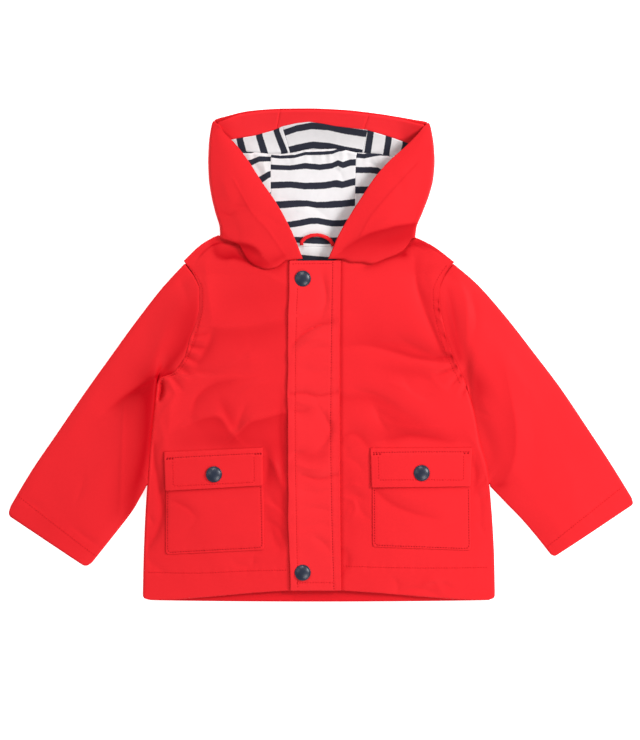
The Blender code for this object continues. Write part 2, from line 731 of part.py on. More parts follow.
def make_hood_shell():
    """The hood's outer side panels, each folded over at its side, and the centre panel between them."""
    rows = [k / 2 for k in range(2 * CORNER_ROW)] + list(range(CORNER_ROW, len(HOOD["right"])))
    corner = rows.index(CORNER_ROW)
    for side, upper in (("right", slice(LOWER_COLUMNS, None)), ("left", slice(None, -LOWER_COLUMNS))):
        grid = [hood_section(side, index) for index in rows]
        if side == "left":
            grid = [row[::-1] for row in grid]
        cells = range(len(grid[0]) - 1)[upper]
        sheet(f"hood_side_{side}", grid, SHELL, "red_cloth", skip=lambda r, c: r >= corner and c in cells)
    grid = []
    level = np.linspace(0, CROWN_START, CENTRE_STEPS + 1)[:-1]
    for v in np.concatenate([level, np.linspace(CROWN_START, 1, CROWN_STEPS + 1)]):
        right, left = (end_x(end, v, neck_y, rim_y) for end in CENTRE_ENDS)
        row = []
        for t in np.linspace(0, 1, CENTRE_COLUMNS + 1):
            x = right + t * (left - right)
            y = neck_y(x) + v * (rim_y(x) - neck_y(x))
            row.append((x, y, tray(x, y)))
        grid.append(row)
    sheet("hood_centre", grid, SHELL, "red_cloth", inward=False)


def lining_strip(name, ends, low_y, high_y, lift, slot, rows, columns):
    """A piece of lining or facing on the inside of the tray, between two curves y(x)."""
    grid = []
    for v in np.linspace(0, 1, rows + 1):
        row = []
        low_x, high_x = (end_x(end, v, low_y, high_y) for end in ends)
        for t in np.linspace(0, 1, columns + 1):
            x = low_x + t * (high_x - low_x)
            y = low_y(x) + v * (high_y(x) - low_y(x))
            row.append(tuple(inside_tray(x, y, lift(x, y) if callable(lift) else lift)))
        grid.append(row)
    sheet(name, grid, LINING, slot, inward=False)


Strip = namedtuple("Strip", "name ends low_y high_y lift slot rows columns")


def make_hood_lining():
    """The jersey inside the hood, in the order a maker joins it, and the red facing round the rim."""

    def fold_y(x):
        return float(smooth(x, LINING_FOLD, "x", "y"))

    def facing_y(x):
        return float(smooth(x, FACING_SEAM, "x", "y"))

    def rolled(x, y):
        along = (y - LINING_FOLD_START_Y) / (fold_y(x) - LINING_FOLD_START_Y)
        return ON_TRAY + LINING_FOLD_LIFT * float(ease(along))

    def at_rim(x):
        return rim_y(x) - 2 * TURNED_IN

    def foot_y(x):
        return fold_y(x) - LINING_OVERLAP

    def under_facing(x):
        return facing_y(x) - GAP

    centre = CENTRE_ENDS
    right, left = ("right", -SEAM), ("left", SEAM)
    back_right, back_left = (LINING_SIDE_RIGHT.x, right), (left, LINING_SIDE_LEFT.x)
    crown_right, crown_left = (CROWN_LINING_RIGHT_X, right), (left, CROWN_LINING_LEFT_X)
    facing_right, facing_left = (FACING_RIGHT_X, right), (left, FACING_LEFT_X)
    back = (rolled, "striped_jersey")
    crown = (ON_TRAY, "striped_jersey")
    facing = (ON_TRAY, "red_facing")
    strips = [
        Strip("lining_back_centre", centre, neck_y, fold_y, *back, 12, 8),
        Strip("lining_back_right", back_right, lambda x: LINING_SIDE_RIGHT.y, fold_y, *back, 6, 4),
        Strip("lining_back_left", back_left, lambda x: LINING_SIDE_LEFT.y, fold_y, *back, 6, 5),
        Strip("lining_crown_centre", centre, foot_y, under_facing, *crown, 5, 8),
        Strip("lining_crown_right", crown_right, foot_y, under_facing, *crown, 4, 5),
        Strip("lining_crown_left", crown_left, foot_y, under_facing, *crown, 4, 5),
        Strip("hood_facing_centre", centre, facing_y, at_rim, *facing, 3, 8),
        Strip("hood_facing_right", facing_right, facing_y, at_rim, *facing, 3, 6),
        Strip("hood_facing_left", facing_left, facing_y, at_rim, *facing, 3, 6),
    ]
    for strip in strips:
        lining_strip(*strip)


def flat_piece(name, x_range, low_y, high_y, slot, rows, columns):
    """A lining piece lying level on the back panel."""
    grid = []
    for v in np.linspace(0, 1, rows + 1):
        row = []
        for t in np.linspace(0, 1, columns + 1):
            x = x_range[0] + t * (x_range[1] - x_range[0])
            row.append((x, low_y(x) + v * (high_y(x) - low_y(x)), ON_SHELL))
        grid.append(row)
    sheet(name, grid, LINING, slot, inward=False)


def make_back_inside():
    """What shows of the back's inside: jersey at the neck, and the red facing at the hem."""
    flat_piece(
        "neck_lining",
        NECK_LINING_X,
        lambda x: NECK_LINING_Y[0],
        lambda x: back_neck_y(x) - TURNED_IN,
        "striped_jersey",
        4,
        4,
    )

    def hem_y(x):
        return HEM_Y - BACK_HEM_DROP * (1 - (x / HEM_FACING_BOW) ** 2) + TURNED_IN

    flat_piece(
        "hem_facing",
        (-HEM_FACING_HALF, HEM_FACING_HALF),
        hem_y,
        lambda x: hem_y(x) + HEM_FACING_DEPTH,
        "red_facing",
        2,
        12,
    )


# ---------------------------------------------------------------- on the fronts


def storm_flap_grid():
    grid = []
    for y in np.linspace(STORM_FLAP_ROWS[0].y, STORM_FLAP_ROWS[-1].y, STORM_FLAP_STEPS + 1):
        left = float(smooth(y, STORM_FLAP_ROWS, "y", "left_edge"))
        seam = float(smooth(y, STORM_FLAP_ROWS, "y", "seam"))
        xs = left + (seam - left) * np.linspace(0, 1, STORM_FLAP_COLUMNS + 1)
        grid.append([(x, y, front_top(x, y) + ON_FRONT) for x in xs])
    return grid


def patch_grid(corners, lift, rows, columns, round_by):
    """A patch on the fronts with its lower corners rounded, raised by lift(v), with v 0 at its top."""
    top_left, top_right, bottom_right, bottom_left = (np.array(c) for c in corners)
    grid = []
    for v in np.linspace(1, 0, rows + 1):
        left = top_left + v * (bottom_left - top_left)
        right = top_right + v * (bottom_right - top_right)
        length = np.linalg.norm(bottom_left - top_left)
        near = max(0.0, 1 - (1 - v) * length / round_by)
        draw = round_by * (1 - math.sqrt(max(0.0, 1 - near * near))) if v < 1 else round_by * 0.6
        width = np.linalg.norm(right - left)
        ts = np.linspace(draw / width, 1 - draw / width, columns + 1)
        row = []
        for t in ts:
            x, y = left + t * (right - left)
            row.append((x, y, front_top(x, y) + lift(v)))
        grid.append(row)
    return grid


def make_flap_and_pockets():
    """The storm flap and the two patch pockets with their flaps, made from the fronts' points."""
    sheet("storm_flap", storm_flap_grid(), STORM_FLAP, "red_cloth", inward=False)
    for side in ("right", "left"):
        steps = POCKET_STEPS
        patch = patch_grid(POCKET_CORNERS[side], lambda v: ON_FRONT, steps, steps, POCKET_ROUND)
        sheet(f"pocket_{side}", patch, POCKET, "red_cloth", inward=False)
        full = ON_FRONT + POCKET + ON_FRONT
        flap = patch_grid(
            POCKET_FLAP_CORNERS[side],
            lambda v: ON_FRONT + (full - ON_FRONT) * min(v / FLAP_RAMP, 1),
            POCKET_FLAP_STEPS,
            steps,
            FLAP_ROUND,
        )
        sheet(f"pocket_flap_{side}", flap, POCKET_FLAP, "red_cloth", inward=False)


def make_snaps():
    """Four domed caps on the flaps."""
    lift = {
        "storm_flap": ON_FRONT + STORM_FLAP + GAP,
        "pocket_flap": 2 * ON_FRONT + POCKET + POCKET_FLAP + GAP,
    }
    radius = SNAP_PROFILE[0].radius
    for snap in SNAPS:
        ring = [2 * math.pi * k / 8 for k in range(8)]
        high = max(front_top(snap.x + radius * math.cos(a), snap.y + radius * math.sin(a)) for a in ring)
        high = max(high, front_top(snap.x, snap.y))
        place = (snap.x, snap.y, high + lift[snap.on])
        turned(snap.name, SNAP_PROFILE, SNAP_TOP_Z, SNAP_SIDES, place, "navy_snap")


def make_loop():
    """The hanger loop, a bound cord sewn in at the back of the neck."""
    z = ON_TRAY + LINING + GAP + LOOP_RADIUS
    curve = bpy.data.curves.new("hanger_loop", "CURVE")
    curve.dimensions = "3D"
    curve.bevel_depth = LOOP_RADIUS * MM
    curve.bevel_resolution = 2
    curve.use_fill_caps = True
    spline = curve.splines.new("POLY")
    spline.points.add(LOOP_STEPS)
    for k in range(LOOP_STEPS + 1):
        angle = math.pi * k / LOOP_STEPS
        x = LOOP_CENTRE_X - LOOP_HALF_WIDTH * math.cos(angle)
        y = LOOP_FOOT_Y + LOOP_RISE * math.sin(angle)
        spline.points[k].co = (x * MM, y * MM, z * MM, 1)
    ob = bpy.data.objects.new("hanger_loop", curve)
    bpy.context.collection.objects.link(ob)
    curve.materials.append(material("red_cloth", RED))


def main():
    for ob in list(bpy.data.objects):
        bpy.data.objects.remove(ob)
    make_body()
    make_sleeves()
    make_hood_shell()
    make_hood_lining()
    make_back_inside()
    make_flap_and_pockets()
    make_snaps()
    make_loop()


main()
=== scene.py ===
"""The looks of a kids rain jacket lying flat: cloth shells, lining, sewing, snaps, camera and light.

Tables and sizes are in millimetres, as in the part's source. cloth() turns them into metres. Creases
and seams are placed by camera pixels, PIXEL millimetres each, and lie on the piece that carries them.
"""

import math
from collections import namedtuple

import bpy
import numpy as np
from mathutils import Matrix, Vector


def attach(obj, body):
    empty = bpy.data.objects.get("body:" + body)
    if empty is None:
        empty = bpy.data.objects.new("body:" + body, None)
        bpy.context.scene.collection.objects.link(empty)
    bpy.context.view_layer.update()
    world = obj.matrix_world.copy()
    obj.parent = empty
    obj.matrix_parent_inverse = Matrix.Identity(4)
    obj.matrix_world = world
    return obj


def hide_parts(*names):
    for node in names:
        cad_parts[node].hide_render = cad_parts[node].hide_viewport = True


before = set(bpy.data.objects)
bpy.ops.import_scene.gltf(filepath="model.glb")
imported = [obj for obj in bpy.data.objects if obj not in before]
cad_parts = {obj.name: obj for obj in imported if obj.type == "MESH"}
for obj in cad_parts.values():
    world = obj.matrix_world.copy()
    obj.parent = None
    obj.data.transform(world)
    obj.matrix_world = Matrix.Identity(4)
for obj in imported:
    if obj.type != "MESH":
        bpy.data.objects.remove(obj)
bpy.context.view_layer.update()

MM = 0.001
PIXEL = 0.93
# The camera pixel over the jacket's middle, the pixel in the picture's middle, and its longer side.
CENTRE_PX, PICTURE_MIDDLE_PX, PICTURE_LONG_PX = (320.0, 355.5), (320.0, 370.0), 740
SIDES = ("right", "left")
# Which way is inwards from a side, along x.
INTO = {"right": 1, "left": -1}

# Cloth thicknesses, and the gap between layers and at seams.
SHELL, SLEEVE_WALL, LINING = 1.4, 1.2, 1.0
FLAP_WALL, PATCH_WALL, POCKET_FLAP_WALL = 1.3, 0.8, 0.9
GAP = 0.3
HALF_GAP = GAP / 2
ON_SHELL = SHELL + GAP
ON_TRAY = SHELL + 2 * GAP
TURNED_IN = 0.2
# How far pieces lap over each other at a seam inside the hood.
LAP = 0.25

# Heights of the outer face above the surface that the jacket lies on.
SEAM_EDGE = 2 * SHELL + GAP
SLEEVE_EDGE = 5.0
ARMHOLE_HEIGHT = 11.5

# Shape powers: how flat the tubes are, and how far up the hem's bow and the neckline's curve reach.
TUBE_FLATNESS = 3
NECKLINE_REACH, BACK_NECK_REACH, HEM_REACH = 6, 8, 6

# The outline of the body, from the hem up. right and left are the wearer's.
Side = namedtuple("Side", "y right left")
SIDE_SEAM = [
    Side(-228.0, -165.3, 163.2),
    Side(-190.0, -164.5, 162.5),
    Side(-147.0, -162.8, 160.2),
    Side(-105.0, -159.8, 155.7),
    Side(-80.0, -158.1, 149.0),
    Side(-52.0, -155.4, 143.4),
    Side(-27.5, -152.6, 136.4),
]
ARMHOLE = [
    Side(-27.5, -152.6, 136.4),
    Side(-20.8, -148.6, 133.6),
    Side(-17.0, -138.0, 131.9),
    Side(-10.0, -131.6, 128.4),
    Side(-0.5, -125.5, 124.0),
    Side(15.5, -121.0, 118.2),
    Side(31.5, -115.0, 114.3),
    Side(46.0, -112.3, 111.5),
    Side(60.0, -112.3, 111.0),
    Side(73.0, -117.5, 116.0),
    Side(85.5, -127.0, 125.0),
]
SHOULDER = [
    Side(85.5, -127.0, 125.0),
    Side(100.0, -110.5, 105.0),
    Side(108.0, -96.0, 88.5),
]
HEM_Y, UNDERARM_Y, TIP_Y, NECK_POINT_Y = -228.0, -27.5, 85.5, 108.0

# The front hem rises towards the middle, where the back's hem shows below it.
FRONT_HEM_MIDDLE_Y = -218.3
BACK_HEM_DROP = 1.4
# How far the hem's corners are rounded, and how far that draws them in and lifts them.
HEM_ROUND, CORNER_DRAW, CORNER_LIFT = 5.0, 0.55, 0.5
# The share of a piece's width that the rounding takes.
FRONT_CORNER_SHARE, BACK_CORNER_SHARE = 0.08, 0.04

# How high the front lies along the middle of the body.
Crown = namedtuple("Crown", "y height")
BODY_CROWN = [
    Crown(-228.0, 7.0),
    Crown(-200.0, 9.8),
    Crown(-150.0, 12.8),
    Crown(-80.0, 13.8),
    Crown(0.0, 14.2),
    Crown(55.0, 13.0),
    Crown(88.0, 10.2),
    Crown(108.0, 8.6),
]

# The fronts' upper edges: they go up under the hood, and end below the storm flap's top where it is open.
Neck = namedtuple("Neck", "x y")
NECK_UNDER_HOOD = {
    "right": [
        Neck(-96.0, 112.0),
        Neck(-82.0, 110.5),
        Neck(-70.0, 104.0),
        Neck(-58.0, 95.5),
        Neck(-48.0, 91.5),
        Neck(-26.0, 90.6),
        Neck(-18.0, 88.0),
        Neck(-6.0, 87.6),
    ],
    "left": [
        Neck(88.5, 110.6),
        Neck(79.0, 106.0),
        Neck(62.0, 96.0),
        Neck(48.0, 92.0),
        Neck(20.0, 90.8),
        Neck(11.0, 88.0),
        Neck(-6.0, 87.6),
    ],
}
BACK_NECK_Y, BACK_NECK_RISE, BACK_NECK_HALF = 101.5, 6.5, 92.0
CENTRE_FRONT_X = -5.7

# Large soft folds: a trough where depth is negative, a ridge where it is positive.
Fold = namedtuple("Fold", "x0 y0 x1 y1 width depth")
FRONT_FOLDS = [
    Fold(-104, 26, -40, 37, 9, -1.3),
    Fold(-104, 42, -44, 52, 10, 0.8),
    Fold(-106, -54, -84, -71, 7, -1.3),
    Fold(-84, -71, -64, -51, 7, -1.3),
    Fold(-100, -74, -72, -76, 6, 0.8),
    Fold(-128, 6, -104, 20, 5, -0.9),
    Fold(84, 72, 106, 16, 8, -1.1),
    Fold(24, 8, 72, 12, 8, -1.0),
    Fold(72, 12, 112, -2, 8, -1.0),
    Fold(70, -76, 106, -78, 7, -1.3),
    Fold(26, -64, 50, -80, 6, -0.9),
]
SLEEVE_FOLDS = [
    Fold(-140, -15, -200, -48, 8, -1.8),
    Fold(-152, 8, -206, -18, 11, 1.0),
    Fold(-172, -64, -196, -136, 11, -1.2),
    Fold(128, 50, 134, -4, 8, -1.8),
    Fold(146, -32, 172, -58, 9, -1.5),
    Fold(158, 14, 196, -34, 12, 0.9),
    Fold(176, -70, 200, -130, 12, -1.0),
]

# The sleeves, a row for each section from armhole to cuff.
SleeveRow = namedtuple("SleeveRow", "outer_x outer_y inner_x inner_y height bow")
Station = namedtuple("Station", ("s",) + SleeveRow._fields)
SLEEVE = {
    "right": [
        SleeveRow(-127.3, 85.7, -152.4, -27.5, ARMHOLE_HEIGHT, 1.00),
        SleeveRow(-146.5, 64.6, -156.7, -45.6, 11.8, 0.60),
        SleeveRow(-172.0, 31.4, -159.5, -73.0, 11.5, 0.25),
        SleeveRow(-196.7, -3.0, -161.8, -100.5, 10.5, 0.08),
        SleeveRow(-221.2, -37.5, -166.6, -127.4, 10.0, 0.0),
        SleeveRow(-245.0, -72.4, -180.4, -151.2, 9.5, 0.0),
        SleeveRow(-268.8, -107.4, -197.6, -173.4, 9.2, 0.0),
        SleeveRow(-292.6, -147.4, -216.4, -198.0, 8.8, 0.0),
    ],
    "left": [
        SleeveRow(125.3, 85.7, 138.0, -27.5, ARMHOLE_HEIGHT, 1.00),
        SleeveRow(146.2, 67.5, 143.6, -45.3, 11.8, 0.60),
        SleeveRow(173.5, 36.1, 149.8, -72.3, 11.5, 0.25),
        SleeveRow(199.0, 3.1, 156.2, -99.0, 10.5, 0.08),
        SleeveRow(224.0, -30.1, 164.8, -124.8, 10.0, 0.0),
        SleeveRow(247.3, -64.7, 181.8, -146.6, 9.5, 0.0),
        SleeveRow(270.2, -99.5, 199.9, -167.4, 9.2, 0.0),
        SleeveRow(293.6, -137.4, 217.2, -188.2, 8.8, 0.0),
    ],
}
# How soon the armhole's curve fades towards a sleeve's inner edge.
BOW_FADE = 8.0

# The hood's rim over the crown, and where its wall leaves the surface.
Rim = namedtuple("Rim", "x y height")
RIM = [
    Rim(-99.0, 218.0, 15.5),
    Rim(-72.0, 226.0, 20.0),
    Rim(-37.0, 229.2, 24.0),
    Rim(-10.0, 229.3, 26.0),
    Rim(18.5, 228.2, 25.5),
    Rim(45.8, 225.6, 23.0),
    Rim(74.5, 221.3, 18.5),
    Rim(100.8, 216.3, 15.5),
]
CROWN_FOOT_Y = 186.0
CROWN_LEAN = 1.5

# The hood's side panels, a row for each section from the neck to the rim. Each section runs from
# the seam with the centre panel, round the fold at the side, and back to the front edge.
# From CORNER_ROW on the panel has no upper layer: it ends at the rim.
HoodRow = namedtuple("HoodRow", "seam_y fold_x fold_y edge_x edge_y fold_z edge_z bulge turn")
HOOD = {
    "right": [
        HoodRow(103.2, -93.0, 109.2, -16.0, 89.8, 11.5, 12.6, 0.5, 6.0),
        HoodRow(115.0, -93.5, 119.0, -23.0, 108.0, 11.5, 14.5, 2.5, 6.0),
        HoodRow(129.0, -97.8, 134.0, -31.5, 126.0, 12.0, 15.5, 4.0, 6.0),
        HoodRow(142.0, -101.5, 150.0, -41.5, 143.5, 12.5, 15.5, 4.5, 6.0),
        HoodRow(154.0, -103.6, 165.0, -54.0, 161.5, 13.0, 15.5, 4.0, 6.0),
        HoodRow(164.0, -104.2, 181.0, -66.5, 181.0, 13.5, 15.5, 3.0, 6.0),
        HoodRow(172.0, -103.6, 195.5, -78.5, 196.5, 15.0, 16.0, 2.0, 5.0),
        HoodRow(179.0, -102.0, 208.0, -90.0, 208.0, 17.0, 17.4, 0.8, 4.0),
        HoodRow(184.0, -99.0, 218.0, -94.0, 213.4, 19.6, 19.4, 0.0, 2.6),
        HoodRow(187.0, -85.0, 222.9, 0, 0, 0, 0, 0, 0),
        HoodRow(189.5, -69.0, 226.6, 0, 0, 0, 0, 0, 0),
        HoodRow(191.5, -53.0, 228.3, 0, 0, 0, 0, 0, 0),
        HoodRow(193.0, -37.0, 229.2, 0, 0, 0, 0, 0, 0),
    ],
    "left": [
        HoodRow(103.2, 88.5, 109.2, 7.5, 89.8, 11.5, 12.6, 0.5, 6.0),
        HoodRow(115.0, 90.0, 119.5, 17.0, 111.5, 11.5, 14.5, 2.5, 6.0),
        HoodRow(129.0, 95.5, 133.0, 27.5, 130.0, 12.0, 15.5, 4.0, 6.0),
        HoodRow(142.0, 101.5, 149.0, 39.0, 148.0, 12.5, 15.5, 4.5, 6.0),
        HoodRow(154.0, 105.5, 164.5, 51.5, 166.5, 13.0, 15.5, 4.0, 6.0),
        HoodRow(163.0, 106.8, 180.5, 65.5, 182.0, 13.5, 15.5, 3.0, 6.0),
        HoodRow(171.0, 106.2, 193.0, 78.5, 193.5, 15.0, 16.0, 2.0, 5.0),
        HoodRow(178.0, 104.3, 206.0, 91.0, 206.0, 17.0, 17.4, 0.8, 4.0),
        HoodRow(183.0, 100.8, 216.3, 95.8, 211.8, 19.6, 19.4, 0.0, 2.6),
        HoodRow(186.5, 87.5, 219.2, 0, 0, 0, 0, 0, 0),
        HoodRow(189.0, 73.5, 221.6, 0, 0, 0, 0, 0, 0),
        HoodRow(191.0, 59.5, 223.8, 0, 0, 0, 0, 0, 0),
        HoodRow(193.0, 45.8, 225.6, 0, 0, 0, 0, 0, 0),
    ],
}
CORNER_ROW = 8
# The mesh's rows up to that row and beyond it, and its columns under the fold, round it and over it.
HOOD_ROWS, CROWN_ROWS = 96, 32
LOWER_COLUMNS, TURN_COLUMNS, UPPER_COLUMNS = 30, 12, 72

# The hood's lower front edge, where it hangs over the fronts, and how far that droop reaches up.
HOOD_HEM = {
    "right": [
        Neck(-93.0, 111.2),
        Neck(-85.0, 108.2),
        Neck(-77.8, 104.4),
        Neck(-74.0, 97.5),
        Neck(-68.5, 89.5),
        Neck(-60.0, 84.2),
        Neck(-50.5, 81.7),
        Neck(-42.0, 83.2),
        Neck(-31.5, 88.9),
        Neck(-16.0, 90.0),
    ],
    "left": [
        Neck(88.5, 109.2),
        Neck(79.6, 98.0),
        Neck(62.0, 90.0),
        Neck(48.5, 85.5),
        Neck(39.5, 87.0),
        Neck(30.0, 87.0),
        Neck(20.5, 89.9),
        Neck(7.5, 90.0),
    ],
}
DROOP_FADE = [1.0, 0.45, 0.12]

# The seams between the centre panel and the side panels, in the shell and in the lining.
GUSSET = [
    Side(102.0, -45.3, 33.3),
    Side(140.0, -46.0, 32.7),
    Side(180.0, -46.0, 33.3),
    Side(193.0, -44.7, 34.9),
    Side(210.0, -40.8, 40.0),
    Side(229.0, -36.9, 46.6),
]

# The ends of the hood's lining and facing pieces, and the lift of the back lining towards its fold.
Level = namedtuple("Level", "x y")
LINING_FOLD_LIFT, LINING_FOLD_START_Y, LINING_OVERLAP = 2.6, 160.0, 5.0
LINING_SIDE_RIGHT, LINING_SIDE_LEFT = Level(-84.0, 140.0), Level(82.0, 132.0)
CROWN_LINING_RIGHT_X, CROWN_LINING_LEFT_X = -88.0, 86.0
FACING_RIGHT_X, FACING_LEFT_X = -91.5, 92.5

# The storm flap, pockets and snaps.
FlapRow = namedtuple("FlapRow", "y left_edge seam")
STORM_FLAP_ROWS = [
    FlapRow(-218.9, -27.5, 19.8),
    FlapRow(-140.0, -29.8, 18.8),
    FlapRow(0.0, -30.2, 18.2),
    FlapRow(88.3, -28.2, 19.4),
]
Corners = namedtuple("Corners", "top_left top_right bottom_right bottom_left")
POCKET_CORNERS = {
    "right": Corners((-143.6, -100.0), (-53.0, -96.5), (-51.8, -180.7), (-143.9, -185.3)),
    "left": Corners((48.2, -97.5), (140.2, -97.5), (140.6, -181.4), (48.7, -178.0)),
}
POCKET_FLAP_CORNERS = {
    "right": Corners((-145.3, -89.6), (-53.2, -85.4), (-53.4, -120.8), (-144.2, -126.0)),
    "left": Corners((46.6, -85.8), (141.4, -85.6), (140.4, -121.8), (47.8, -122.8)),
}
# How round their lower corners are, and how soon a pocket flap rises onto its pocket.
POCKET_ROUND, FLAP_ROUND, FLAP_RAMP = 3.0, 1.5, 0.2
Snap = namedtuple("Snap", "name x y on")
SNAPS = [
    Snap("snap_top", -16.0, 71.4, "storm_flap"),
    Snap("snap_bottom", -16.1, -201.9, "storm_flap"),
    Snap("snap_pocket_right", -98.5, -110.4, "pocket_flap"),
    Snap("snap_pocket_left", 94.5, -109.2, "pocket_flap"),
]
NECK_LINING_X, NECK_LINING_Y = (-34.0, 27.0), (58.0, 100.9)
HEM_FACING_DEPTH, HEM_FACING_HALF, HEM_FACING_BOW = 22.0, 158.0, 165.0

# ---------------------------------------------------------------- curves


def mm(px, py):
    """A camera pixel's place in plan."""
    return (px - CENTRE_PX[0]) * PIXEL, (CENTRE_PX[1] - py) * PIXEL


def smooth(at, table, key, column):
    """The table's column at the key value `at`, on a smooth curve through its rows with no overshoot."""
    keys = np.array([getattr(row, key) for row in table], float)
    values = np.array([getattr(row, column) for row in table], float)
    if keys[0] > keys[-1]:
        keys, values = keys[::-1], values[::-1]
    steps = np.diff(keys)
    slopes = np.diff(values) / steps
    tangents = np.empty_like(values)
    tangents[0], tangents[-1] = slopes[0], slopes[-1]
    same_way = slopes[:-1] * slopes[1:] > 0
    total = np.where(same_way, slopes[:-1] + slopes[1:], 1.0)
    tangents[1:-1] = np.where(same_way, 2 * slopes[:-1] * slopes[1:] / total, 0.0)
    at = np.clip(at, keys[0], keys[-1])
    i = np.clip(np.searchsorted(keys, at, side="right") - 1, 0, len(steps) - 1)
    t = (at - keys[i]) / steps[i]
    return (
        values[i] * (2 * t**3 - 3 * t**2 + 1)
        + values[i + 1] * (3 * t**2 - 2 * t**3)
        + tangents[i] * steps[i] * (t**3 - 2 * t**2 + t)
        + tangents[i + 1] * steps[i] * (t**3 - t**2)
    )


def ease(t):
    """From 0 to 1 with a soft start and end."""
    t = np.clip(t, 0.0, 1.0)
    return t * t * (3 - 2 * t)


def toward_underarm(t):
    """How far down the armhole a sleeve's points are, closer together at its foot."""
    return 1 - (1 - t) ** (1 + t)


def across(t):
    """The height across a flattened tube, from 0 at its edges to 1."""
    return 1 - np.abs(2 * t - 1) ** TUBE_FLATNESS


def through(points, step=3.0):
    """A smooth line through a few points, a point every step."""
    p = np.array(points, float)
    if len(p) == 2:
        n = max(int(np.linalg.norm(p[1] - p[0]) / step), 1)
        return p[0] + np.linspace(0, 1, n + 1)[:, None] * (p[1] - p[0])
    p = np.vstack([2 * p[0] - p[1], p, 2 * p[-1] - p[-2]])
    made = []
    for a, b, c, d in zip(p, p[1:], p[2:], p[3:]):
        n = max(int(np.linalg.norm(c - b) / step), 1)
        for t in np.arange(n) / n:
            square, cube = 2 * a - 5 * b + 4 * c - d, 3 * b - a - 3 * c + d
            made.append(0.5 * (2 * b + (c - a) * t + square * t**2 + cube * t**3))
    return np.array(made + [p[-2]])


def px_line(*points):
    """A smooth line in plan through a few camera pixels."""
    return through([mm(*p) for p in points])


def near(x, y, line, reach):
    """Which points lie near a line, then for those how far off, how far along and on which side they are.

    The last value is the line's length.
    """
    low, high = line.min(0) - reach, line.max(0) + reach
    mask = (x > low[0]) & (x < high[0]) & (y > low[1]) & (y < high[1])
    px, py = x[mask], y[mask]
    best = np.full(px.shape, 1e9)
    along, side = np.zeros(px.shape), np.ones(px.shape)
    start = 0.0
    for a, b in zip(line, line[1:]):
        run = b - a
        length = np.linalg.norm(run)
        t = np.clip(((px - a[0]) * run[0] + (py - a[1]) * run[1]) / length**2, 0, 1)
        ox, oy = px - a[0] - t * run[0], py - a[1] - t * run[1]
        off = np.hypot(ox, oy)
        closer = off < best
        best = np.where(closer, off, best)
        along = np.where(closer, start + t * length, along)
        side = np.where(closer, np.sign(run[0] * oy - run[1] * ox), side)
        start += length
    return mask, best, along / start, side, start


# ---------------------------------------------------------------- creases and seams


# A crease follows a line of camera pixels. It rises by height, or falls, and fades over so many millimetres
# on its left and its right. blunt rounds its top, and start and end are its strength at its ends.
Crease = namedtuple("Crease", "line height left right blunt start end", defaults=(1.0, 0.3, 0.3))

